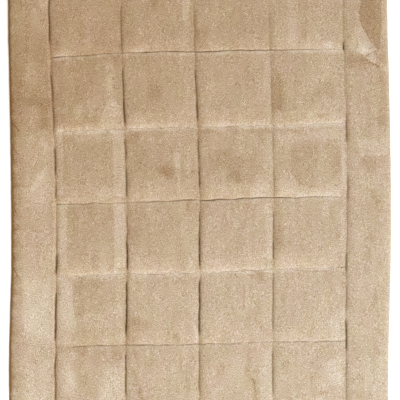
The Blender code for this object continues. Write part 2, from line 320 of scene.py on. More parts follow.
NAP_PATCHES = (
    # The throw's broad shade, deeper at the head and on the left: painted shade of the lamp's fall-off,
    # together with the lie of the pile
    Patch(900, -0.035, ((-1100, 1300), (300, 1300), (-200, 500), (-900, 100))),
    Patch(500, 0.008, ((-900, -80), (-100, -320), (-100, -1200), (-900, -1200))),
    Patch(160, 0.045, ((370, 900), (505, 900), (505, 20), (370, 20))),
    Patch(80, -0.022, ((-140, 130), (140, 130), (140, -130), (-140, -130))),
    Patch(140, -0.018, ((-700, -440), (700, -440), (700, -1200), (-700, -1200))),
    Patch(50, 0.035, ((252, 900), (350, 900), (350, 525), (252, 525))),
    Patch(24, -0.055, ((-500, 545), (-266, 548), (-266, 480), (-500, 470))),
    Patch(24, -0.060, ((-500, 292), (-262, 292), (-262, 246), (-500, 246))),
    Patch(40, -0.040, ((-495, -440), (-270, -440), (-270, -570), (-495, -570))),
    Patch(30, 0.045, ((262, 232), (498, 236), (498, 190), (262, 190))),
    # Left border; its first patch darkens the upper part, partly as the pile lies and partly as painted
    # shade of the lamp's fall-off
    Patch(60, -0.045, ((-700, 560), (-500, 560), (-500, 230), (-700, 230))),
    Patch(50, 0.035, ((-632, 90), (-504, 90), (-504, -1000), (-632, -1000))),
    Patch(34, 0.045, ((-604, 245), (-528, 240), (-512, 120), (-508, -10), (-604, -30))),
    Patch(12, 0.105, ((-518, 124), (-553, 100), (-582, 38), (-560, 36), (-528, 98))),
    Patch(18, 0.080, ((-586, 474), (-566, 478), (-560, 392), (-602, 394))),
    Patch(18, -0.065, ((-604, 352), (-504, 354), (-504, 316), (-604, 322))),
    Patch(14, -0.080, ((-550, 328), (-519, 320), (-527, 236), (-546, 236))),
    Patch(12, 0.115, ((-549, 760), (-524, 760), (-523, 655), (-546, 652))),
    Patch(50, 0.095, ((-606, -270), (-506, -270), (-506, -480), (-606, -475))),
    Patch(26, 0.045, ((-500, 250), (-262, 258), (-262, 205), (-500, 200))),
    Patch(50, 0.050, ((-600, -560), (-512, -555), (-512, -760), (-600, -760))),
    Patch(40, -0.030, ((-640, 470), (-600, 470), (-600, 260), (-640, 260))),
    # First column, from the head
    Patch(22, 0.050, ((-492, 502), (-350, 506), (-380, 548), (-462, 542))),
    Patch(14, 0.060, ((-504, 506), (-440, 504), (-444, 482), (-500, 478))),
    Patch(34, -0.040, ((-497, 474), (-330, 474), (-334, 360), (-400, 328), (-497, 326))),
    Patch(14, 0.055, (
        (-308, 352), (-286, 336), (-267, 302), (-262, 248), (-356, 250), (-337, 290), (-322, 322),
    )),
    Patch(30, -0.025, ((-468, 205), (-300, 205), (-300, 55), (-468, 55))),
    Patch(13, -0.085, ((-473, 222), (-430, 222), (-426, 199), (-470, 195))),
    Patch(20, 0.045, ((-352, 36), (-300, 40), (-300, 8), (-352, 8))),
    Patch(15, -0.070, ((-456, -24), (-414, -24), (-420, -168), (-452, -172))),
    Patch(28, -0.035, ((-414, -20), (-300, -18), (-300, -150), (-414, -150))),
    Patch(10, -0.068, ((-437, -284), (-402, -274), (-397, -380), (-418, -432), (-433, -350))),
    Patch(34, -0.035, ((-400, -278), (-298, -274), (-298, -364), (-400, -392))),
    Patch(14, 0.075, ((-296, -370), (-262, -358), (-262, -492), (-290, -492))),
    Patch(22, 0.040, ((-360, -420), (-300, -410), (-300, -490), (-360, -490))),
    Patch(16, 0.060, ((-480, -520), (-433, -518), (-426, -664), (-476, -664))),
    Patch(11, -0.085, ((-428, -502), (-392, -500), (-396, -536), (-412, -532))),
    Patch(40, 0.080, ((-334, -580), (-266, -556), (-258, -760), (-356, -760))),
    # Second column
    Patch(20, -0.050, ((-264, -405), (-205, -405), (-205, -500), (-264, -500))),
    Patch(30, -0.032, ((-245, 60), (-180, 60), (-180, -60), (-245, -60))),
    Patch(12, -0.030, ((-256, 588), (-232, 588), (-228, 508), (-250, 508))),
    Patch(18, -0.065, ((-184, 404), (-130, 384), (-134, 338), (-166, 342))),
    Patch(40, -0.025, ((-236, 480), (-90, 480), (-90, 300), (-236, 300))),
    Patch(13, -0.095, ((-248, 240), (-203, 232), (-214, 204), (-248, 194))),
    Patch(30, -0.040, ((-238, 192), (-108, 192), (-90, 80), (-232, 68))),
    Patch(14, -0.095, ((-152, 119), (-110, 119), (-88, 106), (-95, 75), (-140, 82))),
    Patch(16, -0.068, ((-244, -28), (-205, -28), (-205, -168), (-242, -152))),
    Patch(34, -0.025, ((-205, -60), (-100, -80), (-96, -210), (-190, -200))),
    Patch(20, 0.035, ((-54, -55), (-12, -50), (-12, -224), (-44, -224))),
    Patch(14, -0.068, ((-238, -407), (-200, -407), (-171, -424), (-174, -452), (-226, -447))),
    Patch(16, 0.035, ((-36, -290), (-8, -290), (-8, -484), (-34, -484))),
    # Third column
    Patch(12, -0.040, ((2, 285), (34, 285), (30, 175), (2, 175))),
    Patch(12, -0.050, ((-12, 588), (18, 588), (22, 512), (-6, 512))),
    Patch(10, -0.040, ((0, 243), (62, 246), (62, 232), (0, 230))),
    Patch(14, -0.032, ((0, 25), (30, 25), (30, -62), (0, -62))),
    Patch(12, 0.055, ((214, 500), (245, 500), (241, 298), (222, 298))),
    Patch(26, -0.055, ((24, 162), (100, 167), (112, 108), (40, 98))),
    Patch(14, -0.045, ((108, 152), (187, 142), (194, 90), (170, 54), (120, 58), (104, 90))),
    Patch(16, 0.070, ((172, 48), (205, 72), (240, 64), (240, 6), (180, 6))),
    Patch(10, -0.055, ((150, 246), (238, 251), (238, 228), (150, 224))),
    Patch(14, 0.040, ((222, 236), (246, 236), (246, 70), (228, 66))),
    Patch(10, 0.075, ((222, -8), (247, -8), (246, -205), (228, -205))),
    Patch(11, -0.075, ((168, -251), (226, -249), (216, -279), (180, -272))),
    Patch(30, -0.025, ((145, -378), (205, -370), (205, -440), (150, -440))),
    Patch(12, 0.060, ((211, -528), (245, -508), (248, -760), (218, -760), (205, -622))),
    Patch(36, 0.025, ((85, -540), (152, -540), (150, -650), (85, -640))),
    # Fourth column
    Patch(16, 0.030, ((296, 760), (334, 760), (334, 520), (300, 520))),
    Patch(12, -0.038, ((336, 760), (366, 760), (362, 552), (336, 552))),
    Patch(18, 0.060, ((348, 538), (486, 536), (488, 508), (348, 508))),
    Patch(18, -0.085, ((245, 442), (285, 432), (294, 360), (280, 298), (249, 308))),
    Patch(30, -0.045, ((398, 402), (456, 402), (466, 343), (408, 348))),
    Patch(16, 0.080, ((330, 44), (360, 24), (430, 22), (482, 52), (484, 8), (330, 8))),
    Patch(14, 0.040, ((268, 96), (304, 96), (322, 62), (340, 40), (330, 14), (268, 14))),
    Patch(50, 0.015, ((312, 210), (480, 210), (480, 60), (312, 60))),
    Patch(11, -0.068, ((257, -38), (286, -44), (280, -168), (257, -168))),
    Patch(24, 0.065, ((448, -398), (491, -378), (491, -486), (438, -482))),
    Patch(26, 0.080, ((428, -560), (489, -528), (489, -642), (438, -632))),
    # Right border, with the puffed corner and its flap, whose pale and dark patches are painted light
    # and shade of its fold over the relief of the fold strokes
    Patch(14, -0.060, ((602, 536), (641, 542), (641, 468), (612, 466))),
    Patch(10, 0.075, (
        (537, 655), (555, 610), (585, 560), (612, 520), (588, 503), (566, 495), (534, 500), (514, 520),
        (514, 542), (534, 575),
    )),
    Patch(12, 0.085, ((548, 545), (572, 545), (584, 512), (556, 496), (540, 512))),
    Patch(8, 0.100, ((562, 500), (592, 500), (606, 478), (598, 462), (578, 472))),
    Patch(20, 0.030, ((622, 760), (648, 760), (650, 430), (626, 430))),
    Patch(14, -0.080, ((499, 300), (514, 296), (514, 200), (500, 196))),
    Patch(14, -0.055, ((502, 503), (540, 493), (568, 468), (590, 450), (513, 452))),
    Patch(14, -0.052, ((612, 442), (637, 442), (637, 248), (612, 248))),
    Patch(10, 0.070, ((534, 207), (643, 210), (643, 154), (547, 150))),
    Patch(16, -0.040, ((545, 149), (645, 152), (645, 112), (550, 114))),
    Patch(30, 0.030, ((545, 95), (605, 90), (600, 48), (548, 52))),
    Patch(40, 0.025, ((560, -550), (636, -550), (636, -640), (570, -640))),
)

# Marks with sharper edges than the mesh, drawn by the finish. Each keeps a share of the soft marks
# under it.
CrispPatch = namedtuple("CrispPatch", ("feather", "amount", "keep", "outline"))

CRISP_PATCHES = (
    CrispPatch(7, 0.060, 1.0, ((-320, 470), (-300, 470), (-298, 352), (-318, 352))),
    CrispPatch(5, 0.038, 1.0, (
        (-318, 342), (-301, 349), (-284, 339), (-270, 315), (-265, 281), (-265, 253), (-352, 253),
        (-346, 281), (-332, 311),
    )),
    CrispPatch(5, 0.060, 1.0, ((-500, 236), (-468, 236), (-470, 18), (-490, 18))),
    CrispPatch(5, 0.068, 1.0, ((-298, 240), (-264, 238), (-256, 12), (-296, 12))),
    CrispPatch(6, 0.075, 1.0, ((-499, -12), (-456, -12), (-456, -232), (-482, -236))),
    CrispPatch(6, 0.080, 1.0, ((-297, -12), (-260, -12), (-256, -232), (-290, -232))),
    CrispPatch(5, 0.080, 1.0, (
        (-490, -264), (-439, -284), (-435, -350), (-425, -430), (-421, -493), (-490, -493),
    )),
    CrispPatch(7, 0.135, 1.0, ((-63, 760), (-33, 760), (-38, 652), (-46, 608), (-60, 618))),
    CrispPatch(6, -0.065, 1.0, (
        (312, 210), (480, 210), (485, 140), (475, 95), (451, 60), (420, 43), (390, 38), (355, 47),
        (326, 72), (311, 105),
    )),
    # Painted highlights on the pile that stands up above crosswise seams b and d
    CrispPatch(5, 0.045, 1.0, (
        (-250, 260), (-200, 258), (-165, 262), (-120, 262), (-75, 264), (-74, 256), (-110, 250),
        (-120, 241), (-171, 237), (-250, 239),
    )),
    CrispPatch(5, 0.050, 1.0, (
        (6, 258), (60, 264), (110, 266), (160, 262), (200, 264), (246, 262), (246, 250), (190, 248),
        (150, 252), (100, 254), (60, 248), (6, 245),
    )),
    CrispPatch(5, 0.065, 1.0, (
        (256, 258), (300, 262), (345, 268), (372, 263), (420, 270), (487, 275), (488, 262), (440, 256),
        (400, 251), (372, 249), (345, 253), (310, 247), (256, 246),
    )),
    CrispPatch(5, 0.050, 1.0, (
        (-421, -252), (-400, -244), (-370, -247), (-340, -243), (-310, -246), (-274, -240),
        (-274, -252), (-310, -257), (-345, -256), (-380, -259), (-421, -262),
    )),
    CrispPatch(5, 0.040, 1.0, (
        (-246, -244), (-200, -241), (-150, -242), (-100, -239), (-60, -240), (-10, -238), (-10, -249),
        (-60, -250), (-100, -250), (-150, -252), (-200, -252), (-246, -253),
    )),
    CrispPatch(5, 0.045, 1.0, (
        (6, -238), (60, -236), (110, -233), (160, -230), (205, -226), (240, -226), (242, -237),
        (200, -239), (150, -242), (100, -244), (50, -247), (6, -249),
    )),
    # Painted light and shade of the flap's fold, the last darkening the slope beyond it
    CrispPatch(6, 0.050, 1.0, (
        (537, 537), (554, 541), (568, 527), (575, 506), (561, 494), (544, 500), (537, 517),
    )),
    CrispPatch(6, -0.060, 1.0, (
        (541, 492), (561, 489), (582, 475), (600, 462), (588, 456), (568, 464), (547, 475),
    )),
    CrispPatch(3, -0.130, 0.3, (
        (554, 760), (551, 670), (543, 643), (545, 622), (552, 599), (567, 571), (583, 544),
        (597, 527), (612, 511), (617, 534), (620, 568), (622, 609), (620, 650), (618, 760),
    )),
)

# Sharp creases and nicks: each runs straight from one place to another, and width is how far it
# reaches on each side. amount is what it adds to the share of the brightness: painted shade in the
# crease below 0, a painted highlight on it above 0.
Crease = namedtuple("Crease", ("x", "y", "to_x", "to_y", "width", "amount"))

CREASES = (
    # Nicks in the left hem
    Crease(-644, 265, -621, 236, 3.8, -0.28),
    Crease(-643, 216, -632, 198, 3.6, -0.24),
    Crease(-643, 188, -624, 158, 3.8, -0.22),
    Crease(-641, 148, -634, 126, 3.4, -0.16),
    Crease(-640, -22, -630, -42, 3.0, -0.22),
    Crease(-640, -70, -621, -90, 3.2, -0.24),
    Crease(-641, -188, -632, -208, 3.2, -0.20),
    Crease(-641, -230, -624, -262, 3.4, -0.26),
    # Creases of the puffed corner and its flap
    Crease(571, 496, 598, 511, 2.8, -0.26),
    Crease(602, 506, 608, 470, 2.8, -0.13),
    Crease(548, 500, 578, 474, 4.0, -0.17),
    Crease(578, 474, 612, 457, 4.0, -0.16),
    Crease(553, 524, 566, 500, 3.0, 0.11),
    # Edge of the pressed triangle, fine lines in the squares, and breaks along a crosswise seam
    Crease(-324, 330, -350, 262, 3.0, -0.10),
    Crease(-75, 160, -69, 100, 3.2, 0.12),
    Crease(149, -292, 152, -378, 2.6, -0.07),
    Crease(364, 760, 362, 560, 2.6, -0.05),
    Crease(147, -238, 192, -244, 3.0, -0.21),
    Crease(328, -241, 380, -244, 3.0, -0.15),
    Crease(392, -243, 440, -243, 3.0, -0.19),
    Crease(472, -232, 498, -230, 3.0, -0.26),
    Crease(-424, -264, -398, -268, 4.0, -0.12),
    Crease(-210, -256, -150, -255, 3.0, -0.11),
    Crease(364, 470, 362, 340, 2.4, -0.04),
    Crease(186, -624, 200, -720, 3.4, -0.08),
    Crease(-204, -660, -186, -716, 3.4, -0.08),
)

NAP_STROKES = (
    # Left border; the first two strokes are painted shade in nicks of the hem
    Stroke(-645, 264, -618, 242, 5, 5, 1.0, -0.11),
    Stroke(-642, 150, -622, 132, 5, 5, 1.0, -0.08),
    Stroke(-545, 440, -540, 395, 18, 18, 1.0, 0.05),
    Stroke(-620, 440, -618, 340, 20, 20, 1.0, -0.05),
    Stroke(-570, 310, -570, 255, 20, 20, 1.0, 0.05),
    Stroke(-570, 650, -560, 600, 22, 22, 1.0, 0.04),
    Stroke(-545, 212, -524, 140, 16, 16, 1.0, 0.05),
    Stroke(-512, -85, -508, -105, 12, 12, 1.0, -0.05),
    # First column
    Stroke(-336, 582, -334, 566, 20, 20, 1.0, -0.05),
    Stroke(-300, 496, -289, 468, 9, 9, 1.0, -0.08),
    Stroke(-293, 328, -288, 312, 14, 14, 1.0, 0.07),
    Stroke(-322, 340, -338, 306, 6, 6, 1.0, -0.07),
    Stroke(-350, 316, -364, 280, 7, 8, 1.0, -0.08),
    Stroke(-378, 344, -376, 292, 13, 13, 1.0, 0.045),
    Stroke(-419, 310, -412, 275, 14, 14, 1.0, 0.08),
    Stroke(-385, 264, -384, 236, 14, 14, 1.0, 0.08),
    Stroke(-440, 320, -439, 300, 9, 9, 1.0, -0.07),
    Stroke(-345, 466, -350, 436, 9, 9, 1.0, 0.05),
    Stroke(-375, -26, -370, -46, 24, 24, 1.0, -0.05),
    Stroke(-312, -18, -305, -66, 15, 12, 1.0, -0.05),
    Stroke(-266, -185, -292, -238, 6, 6, 1.0, 0.06),
    Stroke(-336, -234, -322, -250, 11, 11, 1.0, 0.08),
    Stroke(-361, -212, -360, -232, 11, 11, 1.0, -0.05),
    Stroke(-422, -264, -410, -270, 10, 10, 1.0, -0.06),
    Stroke(-433, -478, -431, -464, 10, 10, 1.0, -0.08),
    Stroke(-446, -592, -446, -622, 15, 15, 1.0, 0.09),
    Stroke(-410, -540, -404, -640, 12, 12, 1.0, -0.05),
    Stroke(-396, -602, -392, -622, 15, 15, 1.0, -0.06),
    Stroke(-292, -508, -290, -532, 11, 11, 1.0, -0.05),
    # Second column
    Stroke(-50, 606, -53, 530, 13, 13, 1.0, 0.05),
    Stroke(-228, 510, -180, 520, 14, 8, 1.0, 0.11),
    Stroke(-162, 700, -156, 668, 26, 26, 1.0, -0.07),
    Stroke(-63, 484, -60, 400, 9, 9, 1.0, 0.055),
    Stroke(-42, 392, -44, 288, 11, 11, 1.0, 0.06),
    Stroke(-118, 96, -108, 84, 15, 15, 1.0, -0.04),
    Stroke(-84, 162, -76, 118, 8, 9, 1.0, 0.12),
    Stroke(-76, 118, -71, 42, 9, 10, 1.0, 0.09),
    Stroke(-36, 130, -34, 30, 10, 10, 1.0, 0.045),
    Stroke(-42, -4, -43, -30, 11, 11, 1.0, -0.12),
    Stroke(-216, -4, -214, -10, 12, 12, 1.0, -0.08),
    Stroke(-190, -12, -188, -20, 10, 10, 1.0, 0.08),
    Stroke(-64, -78, -62, -126, 8, 8, 1.0, 0.08),
    Stroke(-30, -210, -48, -246, 7, 7, 1.0, 0.09),
    Stroke(-218, -266, -216, -284, 12, 12, 1.0, -0.05),
    Stroke(-80, -458, -80, -486, 10, 10, 1.0, -0.09),
    Stroke(-62, -430, -61, -482, 8, 8, 1.0, 0.05),
    Stroke(-14, -436, -12, -488, 10, 10, 1.0, 0.07),
    Stroke(-226, -508, -224, -544, 12, 12, 1.0, -0.05),
    Stroke(-232, -588, -206, -658, 10, 11, 1.0, -0.08),
    Stroke(-206, -658, -184, -720, 14, 14, 1.0, -0.14),
    Stroke(-60, -538, -65, -572, 9, 9, 1.0, -0.06),
    Stroke(-43, -630, -41, -652, 11, 11, 1.0, -0.06),
    Stroke(-50, -502, -49, -514, 12, 12, 1.0, 0.07),
    # Third column
    Stroke(44, 520, 88, 523, 14, 8, 1.0, 0.08),
    Stroke(15, 592, 17, 570, 16, 16, 1.0, -0.065),
    Stroke(134, 660, 151, 580, 15, 15, 1.0, -0.045),
    Stroke(196, 426, 226, 400, 9, 9, 1.0, 0.04),
    Stroke(126, 90, 130, 68, 18, 18, 1.0, -0.08),
    Stroke(44, 62, 92, 32, 18, 18, 1.0, 0.05),
    Stroke(162, -18, 152, -92, 9, 9, 1.0, -0.05),
    Stroke(122, -30, 120, -90, 9, 9, 1.0, 0.04),
    Stroke(84, -40, 76, -96, 10, 10, 1.0, -0.045),
    Stroke(100, -28, 102, -60, 8, 8, 1.0, 0.045),
    Stroke(148, -292, 151, -378, 5, 5, 1.0, -0.06),
    Stroke(158, -290, 162, -400, 6, 6, 1.0, 0.055),
    Stroke(174, -322, 197, -370, 8, 8, 1.0, -0.05),
    Stroke(88, -322, 90, -334, 9, 9, 1.0, -0.04),
    Stroke(29, -440, 30, -460, 12, 12, 1.0, -0.05),
    Stroke(168, -510, 165, -584, 10, 11, 1.0, -0.065),
    Stroke(165, -584, 185, -622, 9, 9, 1.0, -0.10),
    Stroke(185, -622, 200, -740, 11, 20, 1.0, -0.14),
    Stroke(74, -572, 76, -592, 12, 12, 1.0, -0.045),
    # Fourth column
    Stroke(436, 536, 444, 526, 15, 15, 1.0, 0.11),
    Stroke(402, 556, 428, 538, 13, 13, 1.0, 0.05),
    Stroke(271, 366, 273, 346, 17, 17, 1.0, -0.06),
    Stroke(316, 304, 348, 346, 9, 9, 1.0, 0.05),
    Stroke(442, 434, 398, 408, 11, 11, 1.0, 0.045),
    Stroke(430, 350, 433, 328, 9, 9, 1.0, 0.05),
    Stroke(348, 293, 356, 288, 9, 9, 1.0, -0.08),
    Stroke(410, 291, 420, 288, 9, 9, 1.0, -0.08),
    Stroke(340, 238, 342, 226, 11, 11, 1.0, -0.07),
    Stroke(268, 242, 276, 234, 11, 11, 1.0, -0.06),
    Stroke(476, 142, 474, 100, 9, 9, 1.0, -0.045),
    Stroke(399, 204, 400, 112, 5, 5, 1.0, -0.045),
    Stroke(489, 184, 492, 40, 9, 7, 1.0, 0.065),
    Stroke(308, -134, 312, -146, 15, 15, 1.0, -0.05),
    Stroke(350, -162, 354, -180, 15, 15, 1.0, -0.05),
    Stroke(487, -26, 489, -134, 9, 7, 1.0, 0.06),
    Stroke(287, -328, 283, -342, 14, 14, 1.0, -0.045),
    Stroke(386, -368, 381, -452, 9, 9, 1.0, -0.045),
    Stroke(430, -274, 442, -312, 7, 7, 1.0, 0.045),
    Stroke(308, -498, 342, -508, 10, 10, 1.0, 0.075),
    Stroke(286, -570, 300, -560, 14, 14, 1.0, -0.06),
    Stroke(400, -514, 402, -530, 14, 14, 1.0, -0.055),
    Stroke(384, -596, 390, -668, 7, 15, 1.0, -0.10),
    # Right border; the first five strokes are painted light and shade of the flap's fold
    Stroke(553, 522, 561, 508, 17, 17, 1.0, 0.07),
    Stroke(552, 491, 580, 473, 3, 8, 1.0, -0.13),
    Stroke(580, 473, 606, 458, 3, 8, 1.0, -0.12),
    Stroke(606, 458, 632, 440, 3, 8, 1.0, -0.08),
    Stroke(522, 482, 548, 478, 18, 18, 1.0, -0.06),
    Stroke(622, 284, 622, 262, 13, 13, 1.0, -0.07),
    Stroke(564, 404, 576, 352, 10, 10, 1.0, 0.055),
    Stroke(514, 356, 516, 344, 14, 14, 1.0, -0.05),
    Stroke(592, 26, 618, -28, 20, 20, 1.0, -0.06),
    Stroke(584, -132, 586, -116, 10, 10, 1.0, -0.09),
    Stroke(577, -172, 582, -192, 12, 12, 1.0, -0.06),
    Stroke(614, -164, 616, -190, 12, 12, 1.0, 0.05),
    Stroke(598, -304, 602, -346, 9, 9, 1.0, -0.10),
    Stroke(609, -436, 611, -452, 16, 16, 1.0, -0.05),
    Stroke(614, -514, 616, -528, 13, 13, 1.0, -0.055),
    Stroke(544, -596, 558, -616, 13, 13, 1.0, -0.06),
    Stroke(530, -664, 550, -672, 16, 16, 1.0, -0.07),
)

# Relief of the folds and the pressed lines in the cloth, in millimetres
FOLD_STROKES = (
    Stroke(604, 760, 604, 610, 46, 40, 0.8, 2.6),
    Stroke(604, 610, 612, 520, 26, 26, 0.9, 2.0),
    Stroke(540, 760, 548, 620, 10, 12, 0.9, -1.2),
    Stroke(548, 620, 600, 530, 8, 10, 0.9, -1.6),
    Stroke(556, 504, 606, 472, 16, 5, 0.8, 1.6),
    Stroke(606, 472, 648, 446, 14, 5, 0.8, 1.1),
    Stroke(552, 520, 590, 516, 12, 12, 0.9, 1.2),
    Stroke(540, 160, 650, 166, 14, 8, 0.8, 0.9),
    Stroke(-522, 118, -562, 60, 16, 12, 0.9, 0.9),
    Stroke(-590, 345, -515, 345, 14, 14, 0.9, -0.7),
    Stroke(-274, 230, -272, 10, 16, 12, 0.8, 0.8),
    Stroke(-272, -10, -272, -230, 16, 12, 0.8, 0.7),
    Stroke(-480, -10, -474, -240, 10, 14, 0.8, 0.6),
    Stroke(-468, -280, -458, -490, 14, 22, 0.8, 0.8),
    Stroke(-304, 300, -330, 260, 20, 20, 0.9, 0.8),
    Stroke(-80, 160, -72, 30, 8, 8, 0.9, 0.7),
    Stroke(-46, 720, -50, 560, 9, 9, 0.9, 0.8),
    Stroke(155, -290, 160, -480, 6, 6, 0.9, -0.6),
    Stroke(170, -500, 184, -620, 10, 10, 0.9, -0.9),
    Stroke(184, -620, 204, -760, 12, 12, 0.9, -1.0),
    Stroke(386, -600, 392, -670, 8, 8, 0.9, -0.9),
    Stroke(-230, -570, -200, -670, 10, 10, 0.9, -1.0),
)

# The plush. Grains are counted in a metre: across the throw, along it and upwards.
TIP_GRAINS = (660.0, 320.0, 660.0)
STRAND_GRAINS = (260.0, 70.0, 200.0)
TUFT_GRAINS = (75.0, 45.0, 75.0)
STREAK_GRAINS = (42.0, 8.0, 42.0)
PLEAT_GRAINS = (95.0, 13.0, 95.0)
MOTTLE_GRAINS = (13.0, 9.0, 13.0)
WARMTH_GRAINS = (17.0, 12.0, 17.0)

# How strongly each of them tells in the brightness, and in the relief
TIP_TONE = 2.0
STRAND_TONE = 0.06
TUFT_TONE = 0.02
STREAK_TONE = 0.03
MOTTLE_TONE = 0.018
# the painted highlight on the pile that stands up above crosswise seams
LIP_TONE = 0.06
LIP_PLEAT_TONE = 0.07
GRAIN_RELIEF = 0.3
STREAK_RELIEF = 0.2
LIP_RELIEF = 0.8
CREASE_RELIEF = 5.0
BUMP_STRENGTH = 0.45
BUMP_DISTANCE = 0.0012

# How far single strands of the pile cross the edges of slits and crisp marks
SLIT_RAGGED = 0.35
CRISP_RAGGED = 0.2

TONE_REACH = 2.5  # the pile's colours are reached at tones of 1 / TONE_REACH, as shares of brightness
PILE_ROUGHNESS = 0.86
LIT_SMOOTHING = 0.07  # how much smoother the pile looks where it stands to the light
# A warm cast painted towards the head and the left, where the lamp's light falls off, and a cooler one
# towards the brighter foot
HEAD_SLOPE = (-0.37, 0.50)  # how fast the head's tint takes over across and along the throw
HEAD_LEVEL = 0.55  # its share in the middle
HEAD_TINT = (1.052, 0.986, 0.897, 1.0)
FOOT_TINT = (0.955, 1.013, 1.085, 1.0)
GOLDEN_TINT = (0.985, 1.005, 0.930, 1.0)
ROSY_TINT = (1.022, 0.988, 1.030, 1.0)

# The studio
FLOOR_RADIUS = 12.0
COVE_RADIUS = 4.0
WALL_TOP = 7.0
COVE_STEPS = 8
SWEEP_SIDES = 64
FLOOR_DROP = 0.0005
FLOOR_GRAINS = (0.7, 0.7, 0.7)
FLOOR_CLOUD_COLOR = (0.94, 0.94, 0.94)
GLOW_NEAR = 1.5  # distances from the throw's middle between which the sweep's glow grows
GLOW_FAR = 6.0
KEY_COLOR = (0.93, 1.0, 1.08)
FILL_COLOR = (1.0, 0.70, 0.33)
LENS = 63.0  # millimetres, like the sensor's width
SENSOR = 36.0


def color_property(**words):
    """A colour that a user may change, with its name, description and default."""
    return FloatVectorProperty(size=3, min=0.0, max=1.0, subtype="COLOR", **words)


class ThrowSettings(PropertyGroup):
    slit_depth: FloatProperty(
        name="Slit Depth",
        description="How far an open slit sinks below the level of a closed seam",
        default=0.0014,
        min=0.0,
        max=0.003,
        unit="LENGTH",
    )
    swell: FloatProperty(
        name="Swell",
        description="Height of the cloth's gentle unevenness between its seams",
        default=0.0006,
        min=0.0,
        max=0.003,
        unit="LENGTH",
    )
    pucker: FloatProperty(
        name="Pucker",
        description="Height of the short pleats that run up from the crosswise seams",
        default=0.0005,
        min=0.0,
        max=0.002,
        unit="LENGTH",
    )
    nap_color: color_property(
        name="Nap Colour",
        description="Colour of the pile as it lies",
        default=(0.434, 0.322, 0.210),
    )
    # The dark end of the pile's tone, for pressed nap and for painted shade
    pressed_and_shaded_color: color_property(
        name="Pressed Colour",
        description="Colour of the pile where it is pressed away from the light",
        default=(0.202, 0.098, 0.025),
    )
    # The pale end of the pile's tone, for tips that stand up and for painted highlights
    tip_and_lit_color: color_property(
        name="Tip Colour",
        description="Colour of the pile where its tips stand to the light",
        default=(0.745, 0.682, 0.625),
    )
    sheen_color: color_property(
        name="Sheen Colour",
        description="Colour of the soft shine at the edges of the pile",
        default=(0.76, 0.60, 0.38),
    )
    # Painted shade: the colour that an open slit is darkened to, for the shade deep in it
    slit_shade_color: color_property(
        name="Root Colour",
        description="Colour deep in the pile and in the slits of the seams",
        default=(0.085, 0.042, 0.008),
    )
    grain: FloatProperty(
        name="Grain",
        description="Contrast of the fine grain that the tips of the pile make",
        default=0.12,
        min=0.0,
        max=1.0,
        subtype="FACTOR",
    )
    sheen: FloatProperty(
        name="Sheen",
        description="Strength of the soft shine at the edges of the pile",
        default=0.35,
        min=0.0,
        max=1.0,
        subtype="FACTOR",
    )


class StudioSettings(PropertyGroup):
    floor_color: color_property(
        name="Floor Colour",
        description="Colour of the studio floor",
        default=(0.92, 0.92, 0.92),
    )
    floor_glow: color_property(
        name="Floor Glow",
        description="Light that the floor gives out near the throw, so that it stays pale",
        default=(0.12, 0.12, 0.12),
    )
    far_glow: color_property(
        name="Far Glow",
        description="Light that the wall and the far floor give out, so that they stay as pale",
        default=(0.46, 0.54, 0.64),
    )
    key_power: FloatProperty(
        name="Key Power",
        description="Power of the soft lamp",
        default=470.0,
        min=0.0,
        unit="POWER",
    )
    key_distance: FloatProperty(
        name="Key Distance",
        description="Distance from the middle of the throw to the soft lamp",
        default=5.6,
        min=1.0,
        unit="LENGTH",
    )
    key_height: FloatProperty(
        name="Key Height",
        description="Angle of the soft lamp above the floor",
        default=math.radians(36.0),
        min=0.0,
        max=math.radians(90.0),
        subtype="ANGLE",
    )
    key_bearing: FloatProperty(
        name="Key Bearing",
        description="Direction of the soft lamp, turned from the right side towards the foot",
        default=math.radians(63.0),
        subtype="ANGLE",
    )
    key_size: FloatProperty(
        name="Key Size",
        description="Side of the soft lamp",
        default=1.8,
        min=0.1,
        unit="LENGTH",
    )
    fill: FloatProperty(
        name="Fill",
        description="Strength of the even light from all round",
        default=0.34,
        min=0.0,
    )
    view_width: FloatProperty(
        name="View Width",
        description="Width of the floor that the camera sees",
        default=1.368,
        min=0.1,
        unit="LENGTH",
    )


def even_spans(low, high, count):
    """Places from low to high, without low, that split the stretch into so many even spans."""
    return list(np.linspace(low, high, count + 1)[1:])


def mesh_lines(squares, near, border_spans):
    """Places of the mesh lines over one side of the throw, close together at seams and hems."""
    half = squares * PITCH / 2
    far = PITCH - near[-1]
    square = [0.0, *near, *even_spans(near[-1], far, SQUARE_SPANS)]
    square += [PITCH - step for step in reversed(near[:-1])]
    field = [-half + number * PITCH + step for number in range(squares) for step in square]
    border = [half + step for step in near]
    border += [half + step for step in even_spans(near[-1], BORDER - NEAR_HEM[0], border_spans)]
    border += [half + BORDER - step for step in NEAR_HEM[1:]]
    return np.array([*(-place for place in reversed(border)), *field, half, *border])


def smooth_through(stations, values, at):
    """A smooth curve through the values at the rising stations, read at each place."""
    stations, values = np.array(stations, float), np.array(values, float)
    slopes = np.gradient(values, stations)
    at = np.clip(at, stations[0], stations[-1])
    low = np.clip(np.searchsorted(stations, at) - 1, 0, len(stations) - 2)
    span = stations[low + 1] - stations[low]
    share = (at - stations[low]) / span
    rest = 1 - share
    return (
        values[low] * (1 + 2 * share) * rest**2
        + slopes[low] * span * share * rest**2
        + values[low + 1] * (3 - 2 * share) * share**2
        - slopes[low + 1] * span * rest * share**2
    )


def between_stations(stations, values, at):
    """A smooth curve through the values that named stations have, read at each place."""
    order = sorted(stations, key=stations.get)
    return smooth_through([stations[name] for name in order], [values[name] for name in order], at)


def smooth_step(share):
    share = np.clip(share, 0, 1)
    return share * share * (3 - 2 * share)


